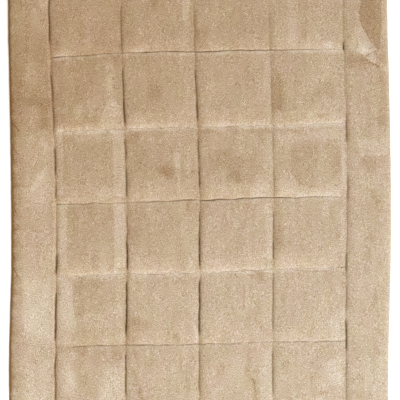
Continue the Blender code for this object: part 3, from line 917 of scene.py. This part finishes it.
def waves(x, y, form):
    """Gentle unevenness with a spread of 1: plane waves of seeded lengths, bearings and phases."""
    draw = np.random.default_rng(form.seed)
    total = np.zeros_like(x)
    for _ in range(WAVE_COUNT):
        length = draw.uniform(form.shortest, form.longest)
        bearing, phase = draw.uniform(0, 2 * np.pi, 2)
        along = x * np.cos(bearing) + y * np.sin(bearing)
        total += np.sin(2 * np.pi * along / length + phase)
    return total * np.sqrt(2 / WAVE_COUNT)


def strays(lines, stations, place, along):
    """How far the cloth strays at each place, in metres: smooth down a line, even between lines."""
    routes = np.array([between_stations(stations, line._asdict(), along) for line in lines])
    places = np.array([line.place for line in lines])
    low = np.clip(np.searchsorted(places, place) - 1, 0, len(places) - 2)
    share = (place - places[low]) / (places[low + 1] - places[low])
    each = np.arange(len(place))
    return MM * (routes[low, each] * (1 - share) + routes[low + 1, each] * share)


def inside_depth(outline, x, y):
    """Distance from each place to an outline in millimetres: positive inside it, negative outside."""
    corners = MM * np.array(outline)
    nearest = np.full_like(x, np.inf)
    inside = np.zeros(x.shape, bool)
    for (x_a, y_a), (x_b, y_b) in zip(corners, np.roll(corners, -1, axis=0)):
        run_x, run_y = x_b - x_a, y_b - y_a
        share = np.clip(((x - x_a) * run_x + (y - y_a) * run_y) / (run_x**2 + run_y**2), 0, 1)
        nearest = np.minimum(nearest, np.hypot(x - x_a - share * run_x, y - y_a - share * run_y))
        spanned = (y_a > y) != (y_b > y)
        inside ^= spanned & (x < x_a + (y - y_a) * run_x / (run_y or 1.0))
    return np.where(inside, nearest, -nearest) / MM


def patch_sum(patches, x, y):
    """What the patches add up to at each place, in metres from the middle of the pattern."""
    total = np.zeros_like(x)
    for patch in patches:
        total += patch.amount * smooth_step(0.5 + inside_depth(patch.outline, x, y) / patch.feather)
    return total


def stroke_sum(strokes, x, y):
    """What the strokes add up to at each place, in metres from the middle of the pattern."""
    total = np.zeros_like(x)
    for stroke in strokes:
        start = MM * np.array((stroke.x, stroke.y))
        run = MM * np.array((stroke.to_x, stroke.to_y)) - start
        length = np.hypot(*run)
        off_x, off_y = x - start[0], y - start[1]
        share = np.clip((off_x * run[0] + off_y * run[1]) / length**2, 0, 1)
        off_x, off_y = off_x - share * run[0], off_y - share * run[1]
        distance = np.hypot(off_x, off_y)
        side = (run[0] * off_y - run[1] * off_x) / (length * np.maximum(distance, 1e-9))
        reach = MM * (stroke.left * (1 + side) + stroke.right * (1 - side)) / 2
        total += stroke.amount * smooth_step((1 - distance / reach) / stroke.edge)
    return total


def crisp_marks(x, y, nap):
    """How far inside a crisp mark each place is, in feathers, and what the mark adds to the nap and
    painted shading there.
    """
    depth, tone = np.full_like(x, -CRISP_LIMIT), np.zeros_like(x)
    for patch in CRISP_PATCHES:
        inside = inside_depth(patch.outline, x, y) / patch.feather
        tone = np.where(inside > depth, patch.amount - (1 - patch.keep) * nap, tone)
        depth = np.maximum(inside, depth)
    return np.minimum(depth, CRISP_LIMIT), tone


def crease_marks(x, y):
    """Distance to the line of the nearest crease, in its widths and signed by side, and its painted
    shading.
    """
    nearest = np.full_like(x, np.inf)
    side, tone = np.ones_like(x), np.zeros_like(x)
    for crease in CREASES:
        start = MM * np.array((crease.x, crease.y))
        run = MM * np.array((crease.to_x, crease.to_y)) - start
        length = np.hypot(*run)
        off_x, off_y = x - start[0], y - start[1]
        along = (off_x * run[0] + off_y * run[1]) / length
        across = (run[0] * off_y - run[1] * off_x) / length
        past = np.maximum(np.maximum(-along, along - length), 0)
        distance = np.hypot(across, past)
        ends = smooth_step(1 - past / CREASE_END) * smooth_step(2 - distance / CREASE_REACH)
        closer = distance < nearest
        side = np.where(closer, across / (MM * crease.width), side)
        tone = np.where(closer, crease.amount * ends, tone)
        nearest = np.minimum(nearest, distance)
    return np.clip(side, -CRISP_LIMIT, CRISP_LIMIT), tone


def long_openness(line, along):
    """How far a long seam is open at each place along the throw, from 0 to 1."""
    found = np.full_like(along, CLOSED_SLIT)
    for slit in SLITS:
        if slit.seam == line.name:
            inside = slit.length * MM / 2 - np.abs(along - slit.middle * MM)
            found = np.maximum(found, slit.open * smooth_step(inside / SLIT_FADE))
    return found


def cross_openness(line, across):
    """How far a crosswise seam is open at each place across the throw, from 0 to 1."""
    uneven = waves(across, np.full_like(across, line.place), CROSS_UNEVEN)
    for row in CROSS_OPENNESS:
        if row.seam == line.name:
            openness = between_stations(ACROSS_STATIONS, row._asdict(), across)
            return np.clip(openness * (1 + CROSS_RAGGED * uneven), CROSS_LEAST, 1.0)
    return np.zeros_like(across)


def slit_cut(distance, form):
    """Depth share of a slit's section at a signed distance from its seam."""
    reach = np.where(distance < 0, form.before, form.after)
    return np.clip(1 - np.abs(distance) / reach, 0, 1) ** form.curve


def flank_loss(distance, flank, rest):
    """Share of the loft missing at a distance from a seam, from all of it to none at the rest."""
    steep = np.clip(1 - distance / flank.reach, 0, 1) ** flank.curve
    even = np.clip(1 - distance / rest, 0, 1)
    return flank.steep * steep + (1 - flank.steep) * even


def kept_loft(lines, flanks, form, openness, place, along):
    """Share of the loft that one direction's seams leave, and how open their slits are, at each place."""
    before, after = flanks["before"], flanks["after"]
    seams = [line for line in lines if line.hold]
    kept, slit = np.ones_like(place), np.zeros_like(place)
    for line in seams:
        signed = place - line.place
        distance = np.abs(signed)
        cut = slit_cut(signed, form) * openness(line, along)
        if line is seams[0]:
            loss_before = flank_loss(distance, BORDER_FLANK, BORDER)
        else:
            loss_before = flank_loss(distance, before, PITCH - after.reach)
        loss_after = flank_loss(distance, after, PITCH - before.reach)
        shoulder = np.where(signed < 0, loss_before, loss_after)
        kept -= line.hold * (line.notch * cut + (1 - line.notch) * shoulder)
        slit = np.maximum(slit, cut)
    return kept, slit


def quilting(x, y):
    """Share of the loft left by all seams, and how deep each place lies in a slit."""
    kept_x, slit_x = kept_loft(ALONG_LINES, ALONG_FLANKS, LONG_SLIT, long_openness, x, y)
    kept_y, slit_y = kept_loft(ACROSS_LINES, ACROSS_FLANKS, CROSS_SLIT, cross_openness, y, x)
    beside, beyond = np.abs(x) > HALF_FIELD[0], np.abs(y) > HALF_FIELD[1]
    corner = np.maximum(kept_x, kept_y)
    kept = np.select((beside & beyond, beside, beyond), (corner, kept_x, kept_y), kept_x * kept_y)
    slit_x = np.where(beyond, 0, slit_x)
    slit_y = np.where(beside, 0, slit_y)
    return kept, slit_x, slit_y


def square_loft(x, y):
    """Loft of the squares, in metres, blended from the middle of one square to the next."""
    table = MM * np.array(LOFT_ROWS)
    across = np.clip((x + HALF_FIELD[0]) / PITCH - 0.5, 0, COLUMNS - 1)
    along = np.clip((y + HALF_FIELD[1]) / PITCH - 0.5, 0, ROWS - 1)
    column = np.minimum(across.astype(int), COLUMNS - 2)
    row = np.minimum(along.astype(int), ROWS - 2)
    share_x, share_y = across - column, along - row
    nearer = table[row, column] * (1 - share_x) + table[row, column + 1] * share_x
    farther = table[row + 1, column] * (1 - share_x) + table[row + 1, column + 1] * share_x
    return nearer * (1 - share_y) + farther * share_y


def hem_share(x, y):
    """Share of the full height at each place, which falls to 0 over the rounded hem."""
    from_sides, from_ends = HALF_THROW[0] - np.abs(x), HALF_THROW[1] - np.abs(y)
    short = np.clip(1 - np.minimum(from_sides, from_ends) / HEM_ROUND, 0, 1)
    return np.sqrt(1 - short**2)


def puckers(x, y):
    """Short pleats that run up from each crosswise seam, and fade towards the head."""
    found = np.zeros_like(x)
    for line in ACROSS_LINES:
        if line.hold:
            above = y - line.place
            fade = np.exp(np.minimum(above / PLEAT_DROP, -above / PLEAT_RISE))
            found += fade * waves(x, PLEAT_STRETCH * y, PLEATS)
    return found


def top_height(x, y, settings):
    """Height of the top of the cloth, and its slits."""
    kept, slit_x, slit_y = quilting(x, y)
    loft = square_loft(x, y) * kept
    broad = waves(x, SWELL_STRETCH * y, BROAD_SWELL)
    fine = waves(x, SWELL_STRETCH * y, FINE_SWELL)
    loft += settings.swell * (broad + FINE_SWELL_SHARE * fine)
    loft += settings.pucker * puckers(x, y)
    loft -= settings.slit_depth * np.maximum(slit_x, CROSS_SLIT_SINK * slit_y)
    for inside in (HALF_THROW[0] - np.abs(x), HALF_THROW[1] - np.abs(y)):
        loft *= 1 - HEM_FALL * np.clip(1 - inside / HEM_REACH, 0, 1) ** 2
    return HEM_TOP + (SEAM_TOP + loft - HEM_TOP) * hem_share(x, y), slit_x, slit_y


def seam_distance(x, y):
    """Distance from each place to the nearest stretch of quilting."""
    past_x, past_y = np.maximum(np.abs(np.stack((x, y))) - HALF_FIELD[:, None], 0)
    along = np.array([line.place for line in ALONG_LINES if line.hold])
    across = np.array([line.place for line in ACROSS_LINES if line.hold])
    to_along = np.hypot(np.abs(x[:, None] - along).min(axis=1), past_y)
    to_across = np.hypot(np.abs(y[:, None] - across).min(axis=1), past_x)
    return np.minimum(to_along, to_across)


def under_height(x, y):
    """Height of the underside, which lifts a little along the seams and at the hem."""
    groove = SEAM_UNDER * np.clip(1 - seam_distance(x, y) / UNDER_GROOVE, 0, 1)
    at_hem = (np.abs(x) >= HALF_THROW[0]) | (np.abs(y) >= HALF_THROW[1])
    return np.where(at_hem, HEM_UNDER, groove)


def round_corners(x, y):
    """Draws the corner squares of the plan into quarter discs."""
    start = HALF_THROW - CORNER_RADIUS
    out_x = np.clip((np.abs(x) - start[0]) / CORNER_RADIUS, 0, 1)
    out_y = np.clip((np.abs(y) - start[1]) / CORNER_RADIUS, 0, 1)
    disc_x = out_x * np.sqrt(1 - out_y**2 / 2)
    disc_y = out_y * np.sqrt(1 - out_x**2 / 2)
    round_x = x - np.sign(x) * CORNER_RADIUS * (out_x - disc_x)
    round_y = y - np.sign(y) * CORNER_RADIUS * (out_y - disc_y)
    return round_x, round_y


def seam_wander(lines, place, along, form):
    """The small wandering of seams and hems off their smooth lines, with a spread of 1 at a seam."""
    found = np.zeros_like(place)
    for number, line in enumerate(lines):
        near = np.exp(-(((place - line.place) / WANDER_REACH) ** 2))
        share = 1.0 if line.hold else HEM_WANDER
        line_form = form._replace(seed=form.seed + number)
        found += share * near * waves(along, np.zeros_like(along), line_form)
    return found


def cloth_plan(x, y):
    """Where the straight pattern's places lie, measured from the middle of the pattern."""
    round_x, round_y = round_corners(x, y)
    plan_x = round_x + strays(ALONG_LINES, ALONG_STATIONS, x, y)
    plan_y = round_y + strays(ACROSS_LINES, ACROSS_STATIONS, y, x)
    plan_x += ALONG_WANDER_SIZE * seam_wander(ALONG_LINES, x, y, ALONG_WANDER)
    plan_y += ACROSS_WANDER_SIZE * seam_wander(ACROSS_LINES, y, x, ACROSS_WANDER)
    return plan_x, plan_y


def hem_routes(lines, stations, reach, length):
    """Where the two hems of one direction run, before the small wandering."""
    along = np.linspace(-length, length, HEM_SAMPLES)
    return [side + strays(lines, stations, np.full(HEM_SAMPLES, side), along) for side in (-reach, reach)]


def pattern_middle():
    """Where the middle of the sewn pattern lies, once the throw's outline is centred on the origin."""
    low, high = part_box(THROW_NODE)
    left, right = hem_routes(ALONG_LINES, ALONG_STATIONS, *HALF_THROW)
    foot, head = hem_routes(ACROSS_LINES, ACROSS_STATIONS, *reversed(HALF_THROW))
    middle_x = (low.x + high.x) / 2 - (left.min() + right.max()) / 2
    middle_y = (low.y + high.y) / 2 - (foot.min() + head.max()) / 2
    return middle_x, middle_y


def add_sheet(bm, x, y, z, columns):
    """Adds a sheet of quads over a grid of points, which come in rows of so many columns."""
    verts = [bm.verts.new(place) for place in zip(x, y, z)]
    for start in range(0, len(verts) - columns, columns):
        for corner in range(start, start + columns - 1):
            above = corner + columns
            bm.faces.new((verts[corner], verts[corner + 1], verts[above + 1], verts[above]))


class Channel:
    """An output of a finish's nodes. Sums and products on it add their Math nodes."""

    def __init__(self, finish, socket):
        self.finish = finish
        self.socket = socket

    def math(self, operation, *operands):
        return self.finish.add("ShaderNodeMath", {"operation": operation}, dict(enumerate(operands)))

    def __add__(self, other):
        return self.math("ADD", self, other)

    __radd__ = __add__

    def __sub__(self, other):
        return self.math("SUBTRACT", self, other)

    def __rsub__(self, other):
        return self.math("SUBTRACT", other, self)

    def __mul__(self, other):
        return self.math("MULTIPLY", self, other)

    __rmul__ = __mul__

    def __abs__(self):
        return self.math("ABSOLUTE", self)

    def clamped(self):
        return self.math("MINIMUM", self.math("MAXIMUM", self, 0.0), 1.0)


class Finish:
    """One material's nodes, and the one method that adds them."""

    def __init__(self, name):
        self.material = bpy.data.materials.new(name)
        self.material.use_nodes = True
        self.tree = self.material.node_tree
        self.shader = self.tree.nodes["Principled BSDF"]

    def feed(self, value, socket):
        if isinstance(value, Channel):
            self.tree.links.new(value.socket, socket)
        else:
            socket.default_value = value

    def add(self, kind, settings=None, sockets=None, output=0):
        """Adds a node with its settings, then its sockets' values or links. Returns one output."""
        node = self.tree.nodes.new(kind)
        for name, setting in (settings or {}).items():
            setattr(node, name, setting)
        for name, value in (sockets or {}).items():
            self.feed(value, node.inputs[name])
        return Channel(self, node.outputs[output])

    def wear(self, **sockets):
        """Sets or links sockets of the finish's shader, named with underscores for spaces."""
        for name, value in sockets.items():
            self.feed(value, self.shader.inputs[name.replace("_", " ")])

    def attribute(self, name):
        return self.add("ShaderNodeAttribute", {"attribute_name": name}, output="Fac")

    def place(self, stretch):
        """The object's own coordinates, each multiplied by its number of grains in a metre."""
        return self.add(
            "ShaderNodeVectorMath",
            {"operation": "MULTIPLY"},
            {0: self.add("ShaderNodeTexCoord", output="Object"), 1: stretch},
        )

    def slope(self, across, along):
        """A number that rises by these amounts for each metre across and along the throw."""
        return self.add(
            "ShaderNodeVectorMath",
            {"operation": "DOT_PRODUCT"},
            {0: self.add("ShaderNodeTexCoord", output="Object"), 1: (across, along, 0.0)},
            "Value",
        )

    def noise(self, stretch, detail=2.0, roughness=0.5):
        """Cloudy unevenness about 0, mostly between -1 and 1."""
        cloud = self.add(
            "ShaderNodeTexNoise",
            sockets={
                "Vector": self.place(stretch),
                "Scale": 1.0,
                "Detail": detail,
                "Roughness": roughness,
            },
        )
        return (cloud - 0.5) * 4.0

    def product(self, first, second):
        """Two colours multiplied, channel by channel."""
        return self.add("ShaderNodeVectorMath", {"operation": "MULTIPLY"}, {0: first, 1: second})

    def blend(self, factor, first, second):
        """A colour between two, by a factor from 0 to 1."""
        return self.add("ShaderNodeMix", {"data_type": "RGBA"}, {0: factor, 6: first, 7: second}, 2)


def opaque(color):
    return (*color, 1.0)


def plush_finish(settings):
    """Short plush: pressed nap with painted light and shade, grain of the tips, streaks along the throw
    and slits in painted shade.
    """
    finish = Finish("throw_plush")
    tips = finish.noise(TIP_GRAINS, detail=0.0)
    strands = finish.noise(STRAND_GRAINS, detail=0.0)
    tufts = finish.noise(TUFT_GRAINS)
    streaks = finish.noise(STREAK_GRAINS)
    pleats = finish.noise(PLEAT_GRAINS)
    mottle = finish.noise(MOTTLE_GRAINS, detail=3.0, roughness=0.55)
    nap = finish.attribute("nap")
    # how far the slits take their painted shade, ragged at the edges
    slit = finish.attribute("slit") * (1 + strands * SLIT_RAGGED)
    lip = finish.attribute("lip")
    inside = (finish.attribute("crisp") + 0.5 + strands * CRISP_RAGGED).clamped()
    crease = (1 - abs(finish.attribute("crease"))).clamped() * finish.attribute("crease_tone")
    marks = nap + inside * finish.attribute("crisp_tone") + crease
    grain = tips * TIP_TONE + strands * STRAND_TONE + tufts * TUFT_TONE
    # painted highlight on the lip above each crosswise seam
    lip_highlight = lip * (LIP_TONE + pleats * LIP_PLEAT_TONE)
    light = marks + lip_highlight + settings.grain * grain + streaks * STREAK_TONE + mottle * MOTTLE_TONE
    tone = light * TONE_REACH
    darker = finish.blend((1 + tone).clamped(), opaque(settings.pressed_and_shaded_color), opaque(settings.nap_color))
    lit = finish.blend(tone.clamped(), darker, opaque(settings.tip_and_lit_color))
    warmth = (finish.noise(WARMTH_GRAINS) * 0.5 + 0.5).clamped()
    # the painted warm cast of the dimmer head and left, and the cooler one of the lit foot
    towards_head = (finish.slope(*HEAD_SLOPE) + HEAD_LEVEL).clamped()
    tinted = finish.product(lit, finish.blend(towards_head, FOOT_TINT, HEAD_TINT))
    pile = finish.product(tinted, finish.blend(warmth, GOLDEN_TINT, ROSY_TINT))
    relief = grain * GRAIN_RELIEF + streaks * STREAK_RELIEF
    relief = relief + lip * pleats * LIP_RELIEF + crease * CREASE_RELIEF
    bump = {"Strength": BUMP_STRENGTH, "Distance": BUMP_DISTANCE, "Height": relief}
    finish.wear(
        Base_Color=finish.blend(slit.clamped(), pile, opaque(settings.slit_shade_color)),
        Roughness=(PILE_ROUGHNESS - tone * LIT_SMOOTHING).clamped(),
        Sheen_Weight=settings.sheen,
        Sheen_Roughness=0.55,
        Sheen_Tint=opaque(settings.sheen_color),
        Specular_IOR_Level=0.08,
        Normal=finish.add("ShaderNodeBump", sockets=bump),
    )
    return finish.material


def nap_and_shading_tone(x, y, plan_x, plan_y):
    """Share by which the pile's lie and painted light and shade make each place brighter, or darker below
    0.
    """
    ragged_x = plan_x + NAP_RAGGED * waves(plan_x, plan_y, MARK_EDGE_X)
    ragged_y = plan_y + NAP_RAGGED * waves(plan_x, plan_y, MARK_EDGE_Y)
    marks = patch_sum(NAP_PATCHES, ragged_x, ragged_y) + stroke_sum(NAP_STROKES, ragged_x, ragged_y)
    return marks + hem_light_and_shade(x, y) + seam_light_and_shade(x, y)


def hem_light_and_shade(x, y):
    """Painted shade along the left hem as a dark line, a shade and a haze, and a painted highlight on the
    right hem.
    """
    width = MM * between_stations(ALONG_STATIONS, HEM_SHADE_WIDTHS, y)
    width *= 1 + HEM_SHADE_RAGGED * waves(np.zeros_like(y), y, HEM_UNEVEN)
    left, right = x + HALF_THROW[0], HALF_THROW[0] - x
    shade = HEM_SHADE * np.exp(-((left / width) ** 2))
    haze = HEM_HAZE * np.exp(-left / (HEM_HAZE_WIDTH * width))
    line = HEM_LINE * np.exp(-(((left - HEM_LINE_INSET) / HEM_LINE_REACH) ** 2))
    glow = RIGHT_HEM_GLOW * np.exp(-((right / RIGHT_HEM_REACH) ** 2))
    return glow - shade - haze - line


def seam_light_and_shade(x, y):
    """Painted shade on the flanks along each long seam, and a painted highlight on the rim below each
    crosswise one.
    """
    found = np.zeros_like(x)
    beyond, beside = np.abs(y) > HALF_FIELD[1], np.abs(x) > HALF_FIELD[0]
    calm = HEAD_CALM * smooth_step((y - HEAD_CALM_START) / HEAD_CALM_SPAN)
    for line in ALONG_LINES:
        if line.hold:
            after = x - line.place
            shade = np.where(after > 0, line.flank, line.edge) * np.exp(-((after / FLANK_REACH) ** 2))
            found -= np.where(beyond, 0, shade) * (1 - calm)
    for line in ACROSS_LINES:
        if line.hold:
            under = line.place - y
            uneven = 1 + RIM_RAGGED * waves(x, np.full_like(x, line.place), RIM_UNEVEN)
            rim = np.exp(-(((under - RIM_MIDDLE) / RIM_REACH) ** 2))
            rim *= 1 - np.exp(-((under / RIM_START) ** 2))
            pale = line.under * np.clip(uneven, *RIM_LIMITS) * rim
            found += np.where(beside | (under < 0), 0, pale)
    return found


def lip_share(x, y):
    """How strongly the pile stands up along the head side of each crosswise seam, mostly below 1, for
    relief and painted highlight.
    """
    found = np.zeros_like(x)
    inside = np.abs(x) < HALF_FIELD[0]
    for line in ACROSS_LINES:
        if line.lip:
            above = y - line.place
            fade = np.exp(np.minimum(above / LIP_FOOT, -above / LIP_REACH))
            uneven = 1 + LIP_RAGGED * waves(x, np.full_like(x, line.place), LIP_UNEVEN)
            found += line.lip * fade * np.clip(uneven, *LIP_LIMITS)
    return np.where(inside, found, 0)


def throw_mesh(settings):
    """The fine top of the throw over a plainer underside, joined at the hem."""
    across = mesh_lines(COLUMNS, NEAR_LONG_SEAM, SIDE_SPANS)
    along = mesh_lines(ROWS, NEAR_CROSS_SEAM, END_SPANS)
    middle_x, middle_y = pattern_middle()
    top_x, top_y = (axis.ravel() for axis in np.meshgrid(across, along))
    plan_x, plan_y = cloth_plan(top_x, top_y)
    height, slit_x, slit_y = top_height(top_x, top_y, settings)
    height += MM * stroke_sum(FOLD_STROKES, plan_x, plan_y) * hem_share(top_x, top_y)
    under_x, under_y = (axis.ravel() for axis in np.meshgrid(across[::2], along[::2]))
    tucked_x, tucked_y = cloth_plan(under_x, under_y)
    tuck = 1 - HEM_TUCK / HALF_THROW
    bm = bmesh.new()
    add_sheet(bm, plan_x + middle_x, plan_y + middle_y, height, len(across))
    add_sheet(
        bm,
        tucked_x * tuck[0] + middle_x,
        tucked_y * tuck[1] + middle_y,
        under_height(under_x, under_y),
        len(across[::2]),
    )
    rims = [edge for edge in bm.edges if edge.is_boundary]
    bmesh.ops.bridge_loops(bm, edges=rims)
    bmesh.ops.recalc_face_normals(bm, faces=bm.faces)
    mesh = bpy.data.meshes.new("plush_throw")
    bm.to_mesh(mesh)
    bm.free()
    mesh.shade_smooth()
    nap = nap_and_shading_tone(top_x, top_y, plan_x, plan_y)
    crisp, crisp_tone = crisp_marks(plan_x, plan_y, nap)
    crease, crease_tone = crease_marks(plan_x, plan_y)
    marks = {
        # how far each place takes the slits' painted shade
        "slit": np.clip(LONG_SLIT_SHADE * slit_x + CROSS_SLIT_SHADE * slit_y, 0, 1),
        "nap": nap,
        "crisp": crisp,
        "crisp_tone": crisp_tone,
        "crease": crease,
        "crease_tone": crease_tone,
        "lip": lip_share(top_x, top_y),
    }
    add_attributes(mesh, marks)
    return mesh


def add_attributes(mesh, numbers):
    """Stores numbers for the first vertices, which are the top's, and 0 for the others, by name."""
    for name, values in numbers.items():
        whole = np.zeros(len(mesh.vertices), np.float32)
        whole[: len(values)] = values
        mesh.attributes.new(name, "FLOAT", "POINT").data.foreach_set("value", whole)


class OBJECT_OT_plush_throw(Operator):
    """Make the quilted plush throw"""

    bl_idname = "object.plush_throw"
    bl_label = "Make Plush Throw"

    def execute(self, context):
        settings = context.scene.throw_settings
        throw = bpy.data.objects.new("plush_throw", throw_mesh(settings))
        throw.data.materials.append(plush_finish(settings))
        context.scene.collection.objects.link(throw)
        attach(throw, BODY)
        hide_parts(THROW_NODE)
        return {"FINISHED"}


def sweep_mesh():
    """A round floor that turns up into a wall through a cove."""
    turn = np.linspace(0, np.pi / 2, COVE_STEPS + 1)
    radii = [*(FLOOR_RADIUS + COVE_RADIUS * np.sin(turn)), FLOOR_RADIUS + COVE_RADIUS]
    heights = [*(COVE_RADIUS * (1 - np.cos(turn))), WALL_TOP]
    bearings = np.linspace(0, 2 * np.pi, SWEEP_SIDES, endpoint=False)
    bm = bmesh.new()
    rings = [
        [bm.verts.new((radius * np.cos(b), radius * np.sin(b), height - FLOOR_DROP)) for b in bearings]
        for radius, height in zip(radii, heights)
    ]
    bm.faces.new(rings[0])
    for lower, upper in zip(rings, rings[1:]):
        for side in range(SWEEP_SIDES):
            after = (side + 1) % SWEEP_SIDES
            bm.faces.new((lower[side], upper[side], upper[after], lower[after]))
    mesh = bpy.data.meshes.new("studio_sweep")
    bm.to_mesh(mesh)
    bm.free()
    mesh.shade_smooth()
    return mesh


def add_floor(settings):
    finish = Finish("studio_sweep")
    cloud = (finish.noise(FLOOR_GRAINS) * 0.5 + 0.5).clamped()
    reach = finish.add(
        "ShaderNodeVectorMath", {"operation": "LENGTH"}, {0: finish.place((1.0, 1.0, 1.0))}, "Value"
    )
    far = ((reach - GLOW_NEAR) * (1 / (GLOW_FAR - GLOW_NEAR))).clamped()
    finish.wear(
        Base_Color=finish.blend(cloud, opaque(settings.floor_color), opaque(FLOOR_CLOUD_COLOR)),
        Roughness=0.9,
        Emission_Color=finish.blend(far, opaque(settings.floor_glow), opaque(settings.far_glow)),
        Emission_Strength=1.0,
    )
    mesh = sweep_mesh()
    mesh.materials.append(finish.material)
    floor = bpy.data.objects.new("studio_sweep", mesh)
    bpy.context.scene.collection.objects.link(floor)


def add_key(settings):
    lamp = bpy.data.lights.new("key", "AREA")
    lamp.shape = "SQUARE"
    lamp.size = settings.key_size
    lamp.energy = settings.key_power
    lamp.color = KEY_COLOR
    key = bpy.data.objects.new("key", lamp)
    level = settings.key_distance * math.cos(settings.key_height)
    key.location = (
        level * math.cos(settings.key_bearing),
        -level * math.sin(settings.key_bearing),
        settings.key_distance * math.sin(settings.key_height),
    )
    key.rotation_euler = (-key.location).to_track_quat("-Z", "Y").to_euler()
    key.visible_camera = False
    bpy.context.scene.collection.objects.link(key)


def add_fill(settings):
    world = bpy.data.worlds.new("studio_fill")
    world.use_nodes = True
    light = world.node_tree.nodes["Background"]
    light.inputs["Color"].default_value = opaque(FILL_COLOR)
    light.inputs["Strength"].default_value = settings.fill
    bpy.context.scene.world = world


def add_camera(settings):
    lens = bpy.data.cameras.new("overhead")
    lens.lens = LENS
    lens.sensor_width = SENSOR
    camera = bpy.data.objects.new("overhead", lens)
    middle_x, middle_y = pattern_middle()
    distance = settings.view_width * LENS / SENSOR
    camera.location = (middle_x, middle_y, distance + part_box(THROW_NODE)[1].z)
    bpy.context.scene.collection.objects.link(camera)
    bpy.context.scene.camera = camera


class SCENE_OT_throw_studio(Operator):
    """Set up the pale floor, the soft light and the overhead camera"""

    bl_idname = "scene.throw_studio"
    bl_label = "Set Up Studio"

    def execute(self, context):
        settings = context.scene.studio_settings
        add_floor(settings)
        add_key(settings)
        add_fill(settings)
        add_camera(settings)
        context.scene.view_settings.view_transform = "Standard"
        return {"FINISHED"}


class VIEW3D_PT_quilted_throw(Panel):
    """Lists the throw's operators and settings"""

    bl_label = "Quilted Throw"
    bl_idname = "VIEW3D_PT_quilted_throw"
    bl_space_type = "VIEW_3D"
    bl_region_type = "UI"
    bl_category = "Throw"

    def draw(self, context):
        groups = (
            (OBJECT_OT_plush_throw, context.scene.throw_settings),
            (SCENE_OT_throw_studio, context.scene.studio_settings),
        )
        for operator, settings in groups:
            box = self.layout.box()
            box.operator(operator.bl_idname)
            for name in settings.__annotations__:
                box.prop(settings, name)


CLASSES = (
    ThrowSettings,
    StudioSettings,
    OBJECT_OT_plush_throw,
    SCENE_OT_throw_studio,
    VIEW3D_PT_quilted_throw,
)


def register():
    for cls in CLASSES:
        bpy.utils.register_class(cls)
    bpy.types.Scene.throw_settings = PointerProperty(type=ThrowSettings)
    bpy.types.Scene.studio_settings = PointerProperty(type=StudioSettings)


def unregister():
    del bpy.types.Scene.studio_settings
    del bpy.types.Scene.throw_settings
    for cls in reversed(CLASSES):
        bpy.utils.unregister_class(cls)


def main():
    register()
    bpy.ops.scene.throw_studio()
    bpy.ops.object.plush_throw()


if __name__ == "__main__":
    main()
